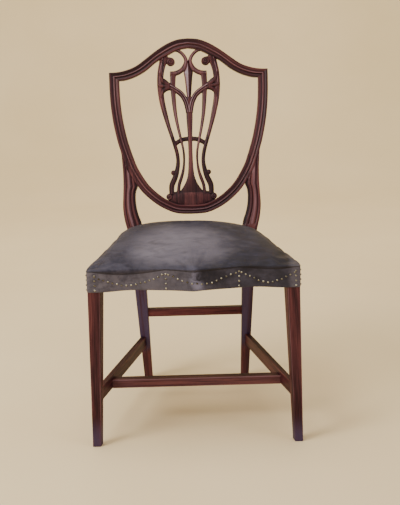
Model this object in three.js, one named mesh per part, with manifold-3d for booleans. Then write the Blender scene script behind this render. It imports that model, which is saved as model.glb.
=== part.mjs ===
import * as THREE from "three";
import { mergeVertices } from "three/addons/utils/BufferGeometryUtils.js";
import Module from "manifold-3d";

const wasm = await Module();
wasm.setup();

// Lengths are millimetres. +Z is up, the chair faces -Y, and x runs out from its centre line.
// y is measured back from the front faces of the front legs until the whole chair is centred.

// Fits and cutting tools
const glueGap = 0.3; // round every tenon, shoulder, peg and layer
const overrun = 4; // how far a cutting tool runs past the face it opens
const edgeLap = 8; // how far a rail runs into its post before the post trims it

// Front legs, square tapered, their sides bevelled along the seat
const frontHalfWidth = 255; // centre line to the outer face at the seat
const legTopSize = 31;
const legFootSize = 20;
const legSplay = 3; // how far the foot stands outside the top

// Rear posts
const postFaceY = 413; // front face of the posts at the seat
const heelSetback = 41; // how far the rear foot stands behind that face
const heelCurve = 1.15;
const rearFootHalfWidth = 152.5;
const rearFootWidth = 22.5;
const rearHalfWidth = 177; // outer face at the seat rails
const rearSeatWidth = 37;
const postFootDepth = 25;
const postSeatDepth = 36;
const postTopDepth = 23;
const kneeHeight = 430; // where the raked back starts
const kneeBlend = 30;
const rake = THREE.MathUtils.degToRad(10.2);

// Seat rails
const railBottom = 391;
const railHeight = 42;
const railThickness = 26;
const rearRailSetback = 7; // rear rail behind the posts' front faces
const bowOut = 15; // how far the middle of the front comes forward
const bowIn = 15; // how far each hollow of the front goes back
const bowCurve = 1.6;
const bowPointCurve = 1.5;
const bowPointShare = 0.28; // half width of the middle bow, of the rail between the legs

// Joints of the seat and the stretchers
const railTenonHeight = 28;
const railTenonThickness = 8;
const railTenonLength = 14;
const frontTenonY = 6; // front rail's tenon behind the leg's front face
const tenonRoot = 10; // how far a tenon starts inside its own rail
const stretcherTenonThickness = 7;
const stretcherTenonLength = 12;
const stretcherShoulder = 5; // step above and below each stretcher's tenon
const pegRadius = 3;
const pegSides = 10;
const pegInset = 0.5; // peg ends below the face they are driven from
const pegPastTenon = 1.5;

// Stretchers
const sideStretcherInset = 8.5; // its middle line inside the legs' outer faces
const sideStretcherThickness = 14;
const sideStretcherHeight = 33;
const lowStretcherBottom = 104;
const medialFaceY = 118;
const medialDepth = 26;
const medialHeight = 22;
const medialTenonLength = 8;
const rearStretcherBottom = 197;
const rearStretcherHeight = 22;
const rearStretcherDepth = 22;
const rearStretcherSetback = 4.5;

// Shield back, drawn on the raked plane of its front face with its foot at the shield's lowest point
const shieldAboveRails = 64.5; // lowest point of the shield above the seat rails
const shieldHalfWidth = 227;
const shieldHeight = 409.5; // lowest point to the top corners
const crestRise = 93; // top of the crest above the corners
const crestThickness = 22;
const shieldBottomWidth = 25.3;
const shieldSideWidth = 28;
const crestCornerDrop = 24; // inner corner below the outer corner
const lowerRailThickness = 22;
const stileInset = 31.2; // widest point of the stile inside the widest point of the shield
const stileWidth = 35.4;
const crotchRise = 79.5; // where the stile and the shield part, above the shield's lowest point
const blendShare = 0.435; // how far up the shield the stile has run into it
const railSeatShare = 0.39; // how far up the shield the lower rail's ends reach
const railSeatStep = 5; // step in the post that covers each of those ends
const seatStepHeight = 0.5;
const lowerTenonLength = 14;
const lowerTenonInset = 6;
const lowerTenonThickness = 7;
const lowerTenonFootShare = 0.35; // of the way from the crotch to the step
const lowerTenonHeadShare = 0.75;
const crestDowelRadius = 4;
const crestDowelLength = 30;

// Splat
const splatHalfWidth = 90.4;
const splatThickness = 11;
const splatSetback = 5; // splat behind the shield's front face
const splatTenonThickness = 6;
const splatTenonLength = 9;
const armTenonWidth = 12;
const armTenonShare = 0.8; // of the splat's half width
const scrollTenonWidth = 6;
const scrollTenonShare = 0.21;
const footTenonWidth = 60;
const footTenonLength = 12;
const voluteRadius = 11.8;
const knobRadius = 6.2;

// Upholstery
const leatherThickness = 2.2;
const leatherLip = 14; // turned under the rails
const seatEdgeHeight = 9; // leather edge above the top of the rails
const crown = 57;
const crownShare = 0.61; // where the crown is highest, from front to back
const rearCrownShare = 0.2; // what is left of the crown at the back edge
const crownAcrossCurve = 2.15;
const crownSideCurve = 0.42;
const crownAlongCurve = 1.5;
const crownFrontCurve = 0.9;
const crownBackCurve = 2.2;
const cushionRows = 10;
const edgeRoll = 1.5; // how far the stuffed edge swells past the nailed border
const padClearance = 0.3;
const webbingWidth = 50;
const webbingThickness = 1.5;
const webbingPitchX = 100;
const webbingPitchY = 100;
const webbingFirstY = 110;
const webbingTuck = 9; // how far a strap's end lies inside the rails' outer faces
const clothThickness = 1;
const clothInset = 8;
const blockReach = 64;
const blockHeight = 34;
const blockDrop = 5; // blocks below the top of the rails

const railTop = railBottom + railHeight;
const shieldBottomHeight = railTop + shieldAboveRails;
const crotchHeight = shieldBottomHeight + crotchRise;
const stileHalfWidth = shieldHalfWidth - stileInset;
const stileInnerHalfWidth = stileHalfWidth - stileWidth;
const sideSlope = (frontHalfWidth - rearHalfWidth) / postFaceY;
const backRailY = postFaceY + rearRailSetback;
const backFaceY = backRailY + railThickness;

// Outlines as shares, from the centre line out: [share of half width, share of height]
const shieldOuterShares = [
  [0, 0], [0.194, 0.008], [0.373, 0.05], [0.524, 0.111], [0.65, 0.185], [0.772, 0.295],
  [0.837, 0.383], [0.868, 0.435], [0.91, 0.515], [0.953, 0.627], [0.981, 0.738], [0.995, 0.85], [1, 1],
];
const crestTopShares = [
  [0, 1], [0.13, 0.967], [0.26, 0.848], [0.4, 0.641], [0.53, 0.404], [0.66, 0.181], [0.79, 0.058],
  [0.9, 0.008], [1, 0],
];
const crestUnderShares = [
  [0, 0.705], [0.13, 0.643], [0.26, 0.49], [0.4, 0.298], [0.53, 0.045], [0.66, -0.133], [0.79, -0.238],
];
// Stile between the seat rails and the crotch: [share of the way out, share of the way up]
const stileOuterShares = [
  [0.1, 0], [0.4, 0.16], [0.76, 0.34], [0.97, 0.53], [1, 0.68], [0.93, 0.85], [0.86, 1.08], [0.88, 1.33],
];
const stileInnerShares = [
  [0, 0], [0.08, 0.15], [0.29, 0.31], [0.6, 0.43], [0.86, 0.57], [0.985, 0.71], [1, 0.81], [0.91, 0.917],
  [0.66, 1],
];
// Splat strips: [share of the splat's half width, share of the shield's height, share of width]
const armShares = [
  [0.625, 0.14, 0.15], [0.614, 0.2, 0.168], [0.51, 0.254, 0.168], [0.437, 0.306, 0.142],
  [0.398, 0.366, 0.117], [0.426, 0.428, 0.117], [0.518, 0.503, 0.115], [0.653, 0.602, 0.122],
  [0.769, 0.701, 0.155], [0.862, 0.8, 0.175], [0.898, 0.9, 0.194], [0.879, 0.986, 0.2],
  [0.82, 1.048, 0.215], [0.75, 1.115, 0.24],
];
const ribShares = [
  [0.42, 0.14, 0.1], [0.382, 0.205, 0.1], [0.308, 0.254, 0.1], [0.243, 0.304, 0.081], [0.211, 0.36, 0.066],
  [0.208, 0.41, 0.069], [0.227, 0.453, 0.069], [0.271, 0.503, 0.073], [0.367, 0.602, 0.09],
  [0.443, 0.701, 0.113], [0.483, 0.8, 0.137], [0.502, 0.9, 0.163], [0.487, 0.98, 0.188],
];
const scrollShares = [
  [0.25, 1.17, 0.1], [0.145, 1.127, 0.09], [0.066, 1.09, 0.1], [0.064, 1.063, 0.126], [0.15, 1.02, 0.144],
  [0.28, 0.996, 0.144], [0.43, 0.984, 0.15], [0.575, 0.982, 0.15],
];
const branchShares = [
  [0.84, 0.9, 0.5], [0.74, 0.897, 0.4], [0.65, 0.893, 0.27], [0.55, 0.886, 0.19], [0.43, 0.87, 0.17],
  [0.3, 0.85, 0.165], [0.19, 0.823, 0.16], [0.09, 0.775, 0.16], [0.03, 0.71, 0.16],
];
const stemShares = [
  [0, 0.79, 0.14], [0, 0.74, 0.195], [0, 0.68, 0.2], [0, 0.62, 0.175], [0, 0.55, 0.145], [0, 0.47, 0.13],
  [0, 0.4, 0.132], [0, 0.34, 0.15], [0, 0.3, 0.175], [0, 0.255, 0.24], [0, 0.21, 0.4], [0, 0.17, 0.64],
  [0, 0.13, 0.9],
];
const bandShares = [[0.5, 0.487, 0.13], [0.26, 0.518, 0.133], [0, 0.525, 0.133]];
const dartShares = [[0, 1.038], [0.148, 0.99], [0.12, 0.95], [0.098, 0.9], [0.078, 0.845], [0.05, 0.79]];
const moundShares = [[0, 0.17], [0.3, 0.165], [0.55, 0.155], [0.66, 0.144], [0.77, 0.122], [0.7, 0.085], [0, 0.02]];
const voluteShare = [0.533, 1.075];
const knobShare = [0.545, 0.289];
const neckShares = [[0.72, 1.05, 0.17], [0.55, 1.075, 0.15]];

const lerp = THREE.MathUtils.lerp;

function smooth(points, steps) {
  const curve = new THREE.SplineCurve(points.map(([x, y]) => new THREE.Vector2(x, y)));
  return curve.getPoints(steps).map((p) => [p.x, p.y]);
}

// x of a curve of [x, height] points at one height
function acrossAt(points, height) {
  for (let i = 1; i < points.length; i++) {
    const [x0, h0] = points[i - 1];
    const [x1, h1] = points[i];
    if (height <= h1) return lerp(x0, x1, THREE.MathUtils.clamp((height - h0) / (h1 - h0), 0, 1));
  }
  return points.at(-1)[0];
}

// height of a curve of [x, height] points at one x
function heightAt(points, x) {
  return acrossAt(points.map(([px, height]) => [height, px]), x);
}

function mirrored(points) {
  return points.map(([x, y]) => [-x, y]).reverse();
}

// moves each point of an open curve to its left by a width that changes along it
function offsetCurve(points, widthAt) {
  return points.map(([x, y], i) => {
    const [x0, y0] = points[Math.max(i - 1, 0)];
    const [x1, y1] = points[Math.min(i + 1, points.length - 1)];
    const length = Math.hypot(x1 - x0, y1 - y0);
    const width = widthAt(i / (points.length - 1));
    return [x - (width * (y1 - y0)) / length, y + (width * (x1 - x0)) / length];
  });
}

// grows a convex anticlockwise polygon by one distance on every side
function grownPolygon(points, grow) {
  const count = points.length;
  return points.map(([x, y], i) => {
    const [ax, ay] = points[(i + count - 1) % count];
    const [bx, by] = points[(i + 1) % count];
    const before = Math.hypot(x - ax, y - ay);
    const after = Math.hypot(bx - x, by - y);
    const n0 = [(y - ay) / before, (ax - x) / before];
    const n1 = [(by - y) / after, (x - bx) / after];
    const share = 1 + n0[0] * n1[0] + n0[1] * n1[1];
    return [x + (grow * (n0[0] + n1[0])) / share, y + (grow * (n0[1] + n1[1])) / share];
  });
}

function solid(geometry) {
  const bare = geometry.clone();
  bare.deleteAttribute("normal");
  bare.deleteAttribute("uv");
  const merged = mergeVertices(bare);
  return new wasm.Manifold(
    new wasm.Mesh({
      numProp: 3,
      vertProperties: new Float32Array(merged.attributes.position.array),
      triVerts: new Uint32Array(merged.index.array),
    }),
  );
}

function geometryOf(made) {
  const mesh = made.getMesh();
  const geometry = new THREE.BufferGeometry();
  geometry.setAttribute("position", new THREE.BufferAttribute(new Float32Array(mesh.vertProperties), 3));
  geometry.setIndex(new THREE.BufferAttribute(new Uint32Array(mesh.triVerts), 1));
  geometry.computeVertexNormals();
  return geometry;
}

function joined(solids) {
  return solids.reduce((whole, next) => whole.add(next));
}

function cut(made, tools) {
  return tools.reduce((whole, tool) => whole.subtract(tool), made);
}

// prism over a flat outline, from one height to another
function prism(outline, low, high) {
  const shape = new THREE.Shape(outline.map(([x, y]) => new THREE.Vector2(x, y)));
  const geometry = new THREE.ExtrudeGeometry(shape, { depth: high - low, bevelEnabled: false });
  return geometry.translate(0, 0, low);
}

function box(x0, x1, y0, y1) {
  return [[x0, y0], [x1, y0], [x1, y1], [x0, y1]];
}

// tenon, peg or block prism that can be grown into its own hole
function block(outline, low, high, grow = 0) {
  return solid(prism(grownPolygon(outline, grow), low - grow, high + grow));
}

function mirroredSolid(geometry) {
  const flipped = geometry.clone().scale(-1, 1, 1);
  const index = flipped.index ? flipped.index.array : [...Array(flipped.attributes.position.count).keys()];
  const turned = [];
  for (let i = 0; i < index.length; i += 3) turned.push(index[i], index[i + 2], index[i + 1]);
  flipped.setIndex(turned);
  return solid(flipped);
}

// both sides of a piece that is made for the right
function bothSides(made) {
  return [made, mirroredSolid(geometryOf(made))];
}

// closed skin over a stack of rings, each anticlockwise from above, lowest first
function loft(sections) {
  const ring = sections[0].length;
  const positions = sections.flat().flatMap((p) => [p.x, p.y, p.z]);
  const index = [];
  for (let i = 0; i < sections.length - 1; i++) {
    for (let j = 0; j < ring; j++) {
      const a = i * ring + j;
      const b = i * ring + ((j + 1) % ring);
      index.push(a, b, b + ring, a, b + ring, a + ring);
    }
  }
  const top = (sections.length - 1) * ring;
  for (let j = 1; j < ring - 1; j++) {
    index.push(0, j + 1, j);
    index.push(top, top + j, top + j + 1);
  }
  const geometry = new THREE.BufferGeometry();
  geometry.setAttribute("position", new THREE.Float32BufferAttribute(positions, 3));
  geometry.setIndex(index);
  return geometry;
}

// pin along x or y, with its middle at a point
function pin(radius, length, axis, x, y, z, grow = 0) {
  const geometry = new THREE.CylinderGeometry(radius + grow, radius + grow, length + 2 * grow, pegSides);
  if (axis === "x") geometry.rotateZ(Math.PI / 2);
  return solid(geometry.translate(x, y, z));
}

// Plan of the seat

function sideX(y) {
  return frontHalfWidth - sideSlope * y;
}

const sideRailRun = railThickness * Math.hypot(1, sideSlope); // rail thickness measured along x
const bowHalf = frontHalfWidth - legTopSize;

// serpentine of the front: a soft point in the middle, a hollow on each side, flat on the legs
function bowAt(x) {
  const along = Math.abs(x) / bowHalf;
  if (along >= 1) return 0;
  const hollow = bowIn * Math.sin(Math.PI * along ** bowCurve) ** 2;
  const point = along < bowPointShare ? bowOut * (1 - along / bowPointShare) ** bowPointCurve : 0;
  return hollow - point;
}

// where curved lines and skins have their points, of the seat's half width
const halfStopShares = [
  0.08, 0.165, 0.246, 0.33, 0.42, 0.51, 0.6, 0.69, 0.78, 0.84, bowHalf / frontHalfWidth, 0.95, 0.988, 1,
];
const stopShares = [...halfStopShares.map((share) => -share).reverse(), 0, ...halfStopShares];

function bowLine(halfLength, setback) {
  const inside = stopShares.map((share) => share * frontHalfWidth).filter((x) => Math.abs(x) < halfLength);
  return [-halfLength, ...inside, halfLength].map((x) => [x, bowAt(x) + setback]);
}

// Front legs

function legSection(outer, size, height, grow) {
  const corner = (x, y) => new THREE.Vector3(x - sideSlope * y, y, height);
  return [
    corner(outer - size - grow, -grow),
    corner(outer + grow, -grow),
    corner(outer + grow, size + grow),
    corner(outer - size - grow, size + grow),
  ];
}

function legSolid(grow = 0) {
  return solid(
    loft([
      legSection(frontHalfWidth + legSplay, legFootSize, -grow, grow),
      legSection(frontHalfWidth, legTopSize, railBottom, grow),
      legSection(frontHalfWidth, legTopSize, railTop + grow, grow),
    ]),
  );
}

// Rear posts, each one piece from the foot to the shield's top corner

const tanRake = Math.tan(rake);
const cosRake = Math.cos(rake);
const shieldFootY = postFaceY + (shieldBottomHeight - kneeHeight) * tanRake;
const cornerHeight = shieldBottomHeight + shieldHeight * cosRake;

function postFace(height) {
  const blendStart = kneeHeight - kneeBlend;
  if (height < railBottom) {
    return [postFaceY + heelSetback * (1 - height / railBottom) ** heelCurve, 0];
  }
  if (height < blendStart) return [postFaceY, 0];
  if (height < kneeHeight + kneeBlend) {
    const along = height - blendStart;
    return [postFaceY + (tanRake * along ** 2) / (4 * kneeBlend), Math.atan((tanRake * along) / (2 * kneeBlend))];
  }
  return [postFaceY + (height - kneeHeight) * tanRake, rake];
}

function postDepth(height) {
  if (height < railBottom) return lerp(postFootDepth, postSeatDepth, height / railBottom);
  const up = Math.max(height - railTop, 0) / (cornerHeight - railTop);
  return lerp(postSeatDepth, postTopDepth, up);
}

const shieldOuter = smooth(
  shieldOuterShares.map(([x, up]) => [x * shieldHalfWidth, up * shieldHeight]),
  48,
);
const shieldInner = offsetCurve(shieldOuter, (along) =>
  lerp(shieldBottomWidth, shieldSideWidth, Math.min(2 * along, 1)),
);
shieldInner[0][0] = 0;
shieldInner[shieldInner.length - 1][0] = shieldHalfWidth - shieldSideWidth;

const backHeight = (up) => shieldBottomHeight + up * cosRake;
const backUp = (height) => (height - shieldBottomHeight) / cosRake;
const railSeatTop = railSeatShare * shieldHeight;
const railSeatX = acrossAt(shieldInner, railSeatTop) + railSeatStep;
const rearInnerX = rearHalfWidth - rearSeatWidth;

const stileOuter = smooth(
  stileOuterShares.map(([out, up]) => [
    lerp(rearHalfWidth, stileHalfWidth, out),
    lerp(railTop, crotchHeight, up),
  ]),
  24,
);
const stileInner = smooth(
  stileInnerShares.map(([out, up]) => [
    lerp(rearInnerX, stileInnerHalfWidth, out),
    lerp(railTop, crotchHeight, up),
  ]),
  24,
);
const stileTop = stileOuter.at(-1)[1];
const blendTop = backHeight(blendShare * shieldHeight);

function postOuterX(height) {
  if (height < railBottom) return lerp(rearFootHalfWidth, rearHalfWidth, height / railBottom);
  if (height < railTop) return lerp(rearHalfWidth, stileOuter[0][0], (height - railBottom) / railHeight);
  if (height < stileTop) return acrossAt(stileOuter, height);
  if (height < blendTop) {
    const along = (height - stileTop) / (blendTop - stileTop);
    return lerp(stileOuter.at(-1)[0], acrossAt(shieldOuter, backUp(blendTop)), along);
  }
  return acrossAt(shieldOuter, backUp(height));
}

function postInnerX(height) {
  if (height < railBottom) {
    return lerp(rearFootHalfWidth - rearFootWidth, rearInnerX, height / railBottom);
  }
  if (height < railTop) return rearInnerX;
  if (height < crotchHeight) return acrossAt(stileInner, height);
  const up = backUp(height);
  if (up < railSeatTop) {
    const along = (up - backUp(crotchHeight)) / (railSeatTop - backUp(crotchHeight));
    return lerp(stileInner.at(-1)[0], railSeatX, along);
  }
  return acrossAt(shieldInner, up);
}

function heightsBetween(low, high, steps) {
  return Array.from({ length: steps }, (_, i) => lerp(low, high, i / steps));
}

const postHeights = [
  ...heightsBetween(0, railBottom, 6),
  ...heightsBetween(railBottom, railTop, 2),
  ...heightsBetween(railTop, crotchHeight, 12),
  ...heightsBetween(crotchHeight, backHeight(railSeatTop), 4),
  backHeight(railSeatTop) - seatStepHeight,
  ...heightsBetween(backHeight(railSeatTop), cornerHeight, 11),
  cornerHeight,
];

function postSolid(grow = 0) {
  const sections = postHeights.map((height, i) => {
    const [faceY, lean] = postFace(height);
    const depth = postDepth(height);
    const end = i === 0 ? -grow : i === postHeights.length - 1 ? grow : 0;
    const corner = (x, back) =>
      new THREE.Vector3(
        x,
        faceY + back * Math.cos(lean) + end * Math.sin(lean),
        height - back * Math.sin(lean) + end * Math.cos(lean),
      );
    const outer = postOuterX(height) + grow;
    const inner = postInnerX(height) - grow;
    return [corner(inner, -grow), corner(outer, -grow), corner(outer, depth + grow), corner(inner, depth + grow)];
  });
  return solid(loft(sections));
}

// The raked plane: local x across, local y up the back, local z forward out of its front face

const onBack = new THREE.Matrix4()
  .makeTranslation(0, shieldFootY, shieldBottomHeight)
  .multiply(new THREE.Matrix4().makeRotationX(Math.PI / 2 - rake));

function toChair(made) {
  return solid(geometryOf(made).applyMatrix4(onBack));
}

const crestTop = smooth(
  crestTopShares.map(([x, up]) => [x * shieldHalfWidth, shieldHeight + up * crestRise]),
  40,
);
const crestInnerX = shieldHalfWidth - shieldSideWidth;
const crestUnder = smooth(
  [
    ...crestUnderShares.map(([x, up]) => [x * shieldHalfWidth, shieldHeight + up * crestRise]),
    [crestInnerX, shieldHeight - crestCornerDrop],
  ],
  34,
);

function crestSolid(grow = 0) {
  const under = crestUnder.map(([x, up]) => [x, up - grow]);
  const over = crestTop.map(([x, up]) => [x, up + grow]).reverse();
  const outline = [...mirrored(under).slice(0, -1), ...under, ...over, ...mirrored(over).slice(1)];
  return solid(prism(outline, -crestThickness - grow, grow));
}

// everything above the mitre of the right corner, which trims the post
function mitreTool() {
  const along = new THREE.Vector2(shieldSideWidth, crestCornerDrop).normalize();
  const normal = [along.y, -along.x];
  const far = 3 * shieldSideWidth;
  const corner = [shieldHalfWidth + normal[0] * glueGap, shieldHeight + normal[1] * glueGap];
  const outer = [corner[0] + along.x * far, corner[1] + along.y * far];
  const inner = [corner[0] - along.x * far, corner[1] - along.y * far];
  const outline = [inner, outer, [inner[0], outer[1]]];
  return solid(prism(outline, -postTopDepth - crestThickness, overrun));
}

function lowerRailSolid(grow = 0) {
  const top = railSeatTop - glueGap + grow;
  const below = (points) => [
    ...points.filter(([, up]) => up < top),
    [acrossAt(points, top), top],
  ];
  const outer = below(shieldOuter).map(([x, up], i) => (i === 0 ? [0, up - grow] : [x, up - grow]));
  const inner = below(shieldInner).map(([x, up]) => [x, up + grow]).reverse();
  const outline = [...mirrored(outer).slice(0, -1), ...outer, ...inner, ...mirrored(inner).slice(1)];
  return solid(prism(outline, -lowerRailThickness - grow, grow));
}

const crotchUp = backUp(crotchHeight);

function railSeatAt(up) {
  return lerp(stileInner.at(-1)[0], railSeatX, (up - crotchUp) / (railSeatTop - crotchUp));
}

function lowerTenon(grow = 0) {
  const low = lerp(crotchUp, railSeatTop, lowerTenonFootShare);
  const high = lerp(crotchUp, railSeatTop, lowerTenonHeadShare);
  const outline = [
    [railSeatAt(low) - lowerTenonInset, low],
    [railSeatAt(low) + lowerTenonLength, low],
    [railSeatAt(high) + lowerTenonLength, high],
    [railSeatAt(high) - lowerTenonInset, high],
  ];
  const middle = -lowerRailThickness / 2;
  return block(outline, middle - lowerTenonThickness / 2, middle + lowerTenonThickness / 2, grow);
}

const crestDowelX = shieldHalfWidth - lowerTenonInset - crestDowelLength / 2;
const crestDowelUp = shieldHeight - crestCornerDrop / 2;

function crestDowel(grow = 0) {
  return pin(crestDowelRadius, crestDowelLength, "x", crestDowelX, crestDowelUp, -crestThickness / 2, grow);
}

// Splat

const splatFront = -splatSetback;
const splatBack = splatFront - splatThickness;

function splatPoints(shares) {
  return shares.map(([x, up, ...rest]) => [x * splatHalfWidth, up * shieldHeight, ...rest]);
}

// strip of changing width along a smooth line, its width read at even steps
function strip(shares, steps) {
  const line = smooth(splatPoints(shares), steps);
  const widths = smooth(shares.map(([, , width], i) => [i / (shares.length - 1), width * splatHalfWidth]), steps);
  const half = (along) => widths[Math.round(along * steps)][1] / 2;
  const left = offsetCurve(line, half);
  const right = offsetCurve(line, (along) => -half(along));
  return solid(prism([...right, ...left.reverse()], splatBack, splatFront));
}

function disc(share, radius) {
  const geometry = new THREE.CylinderGeometry(radius, radius, splatThickness, 20).rotateX(Math.PI / 2);
  const middle = (splatBack + splatFront) / 2;
  return solid(geometry.translate(share[0] * splatHalfWidth, share[1] * shieldHeight, middle));
}

// solid between a half outline, from its top to its foot, and its mirror image
function filled(shares) {
  const down = splatPoints(shares);
  const up = [...down].reverse();
  const left = down.filter(([x]) => x > 0).map(([x, y]) => [-x, y]);
  return solid(prism([...up, ...left], splatBack, splatFront));
}

const armTopX = armTenonShare * splatHalfWidth;
const scrollTopX = scrollTenonShare * splatHalfWidth;

function splatTenons(grow = 0) {
  const middle = (splatBack + splatFront) / 2;
  const low = middle - splatTenonThickness / 2;
  const high = middle + splatTenonThickness / 2;
  const into = (x, width) => {
    const under = heightAt(crestUnder, x);
    return box(x - width / 2, x + width / 2, under - splatTenonLength, under + splatTenonLength);
  };
  const heads = [into(armTopX, armTenonWidth), into(scrollTopX, scrollTenonWidth)];
  const foot = box(
    -footTenonWidth / 2,
    footTenonWidth / 2,
    shieldBottomWidth - footTenonLength,
    shieldBottomWidth + footTenonLength,
  );
  return [
    ...heads.flatMap((outline) => bothSides(block(outline, low, high, grow))),
    block(foot, low, high, grow),
  ];
}

function splatSolid() {
  const onOneSide = [
    strip(armShares, 52),
    strip(ribShares, 40),
    strip(scrollShares, 26),
    strip(branchShares, 24),
    strip(neckShares, 2),
    strip(bandShares, 8),
    disc(voluteShare, voluteRadius),
    disc(knobShare, knobRadius),
  ];
  const inTheMiddle = [strip(stemShares, 30), filled(dartShares), filled(moundShares)];
  const whole = joined([...onOneSide.flatMap(bothSides), ...inTheMiddle]);
  const trimmed = cut(whole, [crestSolid(glueGap), lowerRailSolid(glueGap)]);
  return joined([trimmed, ...splatTenons()]);
}

// Seat rails

function frontRailSolid(grow = 0) {
  const half = bowHalf + edgeLap;
  const front = bowLine(half, -grow);
  const back = bowLine(half, railThickness + grow).reverse();
  return solid(prism([...front, ...back], railBottom - grow, railTop + grow));
}

function sideRailOutline(fromY, toY, inset, width) {
  return [
    [sideX(fromY) - inset - width, fromY],
    [sideX(fromY) - inset, fromY],
    [sideX(toY) - inset, toY],
    [sideX(toY) - inset - width, toY],
  ];
}

const railMiddle = railBottom + railHeight / 2;
const tenonLow = railMiddle - railTenonHeight / 2;
const tenonHigh = railMiddle + railTenonHeight / 2;
const tenonInset = (sideRailRun - railTenonThickness) / 2;

function frontTenon(grow = 0) {
  const outline = box(
    bowHalf - tenonRoot,
    bowHalf + railTenonLength,
    frontTenonY,
    frontTenonY + railTenonThickness,
  );
  return block(outline, tenonLow, tenonHigh, grow);
}

function sideFrontTenon(grow = 0) {
  const outline = sideRailOutline(
    legTopSize - railTenonLength,
    legTopSize + tenonRoot,
    tenonInset,
    railTenonThickness,
  );
  return block(outline, tenonLow, tenonHigh, grow);
}

function sideRearTenon(grow = 0) {
  const outline = sideRailOutline(
    postFaceY - tenonRoot,
    postFaceY + stretcherTenonLength,
    tenonInset,
    railTenonThickness,
  );
  return block(outline, tenonLow, tenonHigh, grow);
}

const rearTenonY = backRailY + (railThickness - railTenonThickness) / 2;

function rearTenon(grow = 0) {
  const outline = box(
    rearInnerX - tenonRoot,
    rearInnerX + stretcherTenonLength,
    rearTenonY,
    rearTenonY + railTenonThickness,
  );
  return block(outline, tenonLow, tenonHigh, grow);
}

function sideRailSolid() {
  const outline = sideRailOutline(legTopSize - edgeLap, postFaceY + edgeLap, 0, sideRailRun);
  return solid(prism(outline, railBottom, railTop));
}

function rearRailSolid() {
  const half = rearInnerX + edgeLap;
  return solid(prism(box(-half, half, backRailY, backFaceY), railBottom, railTop));
}

// Pegs that lock the seat tenons

const frontPegX = bowHalf + railTenonLength / 2;
const frontPegLength = frontTenonY + railTenonThickness + pegPastTenon;
const sidePegY = legTopSize - railTenonLength / 2;
const sidePegLength = tenonInset + railTenonThickness + pegPastTenon;
const postPegY = postFaceY + stretcherTenonLength / 2;
const rearPegX = rearInnerX + stretcherTenonLength / 2;
const rearPegLength = postSeatDepth - (rearTenonY - postFaceY) + pegPastTenon;

function seatPegs(grow = 0) {
  return {
    front_rail_peg: pin(
      pegRadius, frontPegLength, "y", frontPegX, pegInset + frontPegLength / 2, railMiddle, grow,
    ),
    side_rail_front_peg: pin(
      pegRadius, sidePegLength, "x", sideX(sidePegY) - pegInset - sidePegLength / 2, sidePegY, railMiddle, grow,
    ),
    side_rail_rear_peg: pin(
      pegRadius, sidePegLength, "x", rearHalfWidth - pegInset - sidePegLength / 2, postPegY, railMiddle, grow,
    ),
    rear_rail_peg: pin(
      pegRadius, rearPegLength, "y", rearPegX, postFaceY + postSeatDepth - pegInset - rearPegLength / 2,
      railMiddle, grow,
    ),
  };
}

// Stretchers

// sizes of the tapered legs at the height of the low stretchers
const lowStretcherTop = lowStretcherBottom + sideStretcherHeight;
const lowMiddle = lowStretcherBottom + sideStretcherHeight / 2;
const legBackY = lerp(legFootSize, legTopSize, lowMiddle / railBottom);
const legOuterX = sideX(legBackY) + lerp(legSplay, 0, lowMiddle / railBottom);
const postFrontY = postFace(lowMiddle)[0];
const stretcherFrontX = legOuterX - sideStretcherInset;
const stretcherRearX = postOuterX(lowMiddle) - sideStretcherInset;
const stretcherSlope = (stretcherFrontX - stretcherRearX) / (postFrontY - legBackY);

function stretcherX(y) {
  return stretcherFrontX - stretcherSlope * (y - legBackY);
}

function stretcherOutline(fromY, toY, thickness) {
  const half = (thickness * Math.hypot(1, stretcherSlope)) / 2;
  return [
    [stretcherX(fromY) - half, fromY],
    [stretcherX(fromY) + half, fromY],
    [stretcherX(toY) + half, toY],
    [stretcherX(toY) - half, toY],
  ];
}

function sideStretcherSolid(grow = 0) {
  const outline = stretcherOutline(legBackY - edgeLap, postFrontY + edgeLap, sideStretcherThickness);
  return block(outline, lowStretcherBottom, lowStretcherTop, grow);
}

function sideStretcherTenons(grow = 0) {
  const ends = [
    [legBackY - stretcherTenonLength, legBackY + tenonRoot],
    [postFrontY - tenonRoot, postFrontY + stretcherTenonLength],
  ];
  const low = lowStretcherBottom + stretcherShoulder;
  const high = lowStretcherTop - stretcherShoulder;
  return ends.map(([from, to]) => block(stretcherOutline(from, to, stretcherTenonThickness), low, high, grow));
}

const medialMiddleY = medialFaceY + medialDepth / 2;
const medialHalf = stretcherX(medialMiddleY);

function medialSolid() {
  const outline = box(-medialHalf, medialHalf, medialFaceY, medialFaceY + medialDepth);
  return solid(prism(outline, lowStretcherBottom, lowStretcherBottom + medialHeight));
}

function medialTenon(grow = 0) {
  const face = medialHalf - sideStretcherThickness / 2;
  const outline = box(
    face - tenonRoot,
    face + medialTenonLength,
    medialMiddleY - stretcherTenonThickness / 2,
    medialMiddleY + stretcherTenonThickness / 2,
  );
  const low = lowStretcherBottom + stretcherShoulder;
  return block(outline, low, lowStretcherBottom + medialHeight - stretcherShoulder, grow);
}

const rearMiddle = rearStretcherBottom + rearStretcherHeight / 2;
const rearStretcherY = postFace(rearMiddle)[0] + rearStretcherSetback;
const rearStretcherEnd = postInnerX(rearMiddle);

function rearStretcherSolid() {
  const half = rearStretcherEnd + edgeLap;
  const outline = box(-half, half, rearStretcherY, rearStretcherY + rearStretcherDepth);
  return solid(prism(outline, rearStretcherBottom, rearStretcherBottom + rearStretcherHeight));
}

function rearStretcherTenon(grow = 0) {
  const middle = rearStretcherY + rearStretcherDepth / 2;
  const outline = box(
    rearStretcherEnd - tenonRoot,
    rearStretcherEnd + stretcherTenonLength,
    middle - stretcherTenonThickness / 2,
    middle + stretcherTenonThickness / 2,
  );
  const low = rearStretcherBottom + stretcherShoulder;
  return block(outline, low, rearStretcherBottom + rearStretcherHeight - stretcherShoulder, grow);
}

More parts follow.
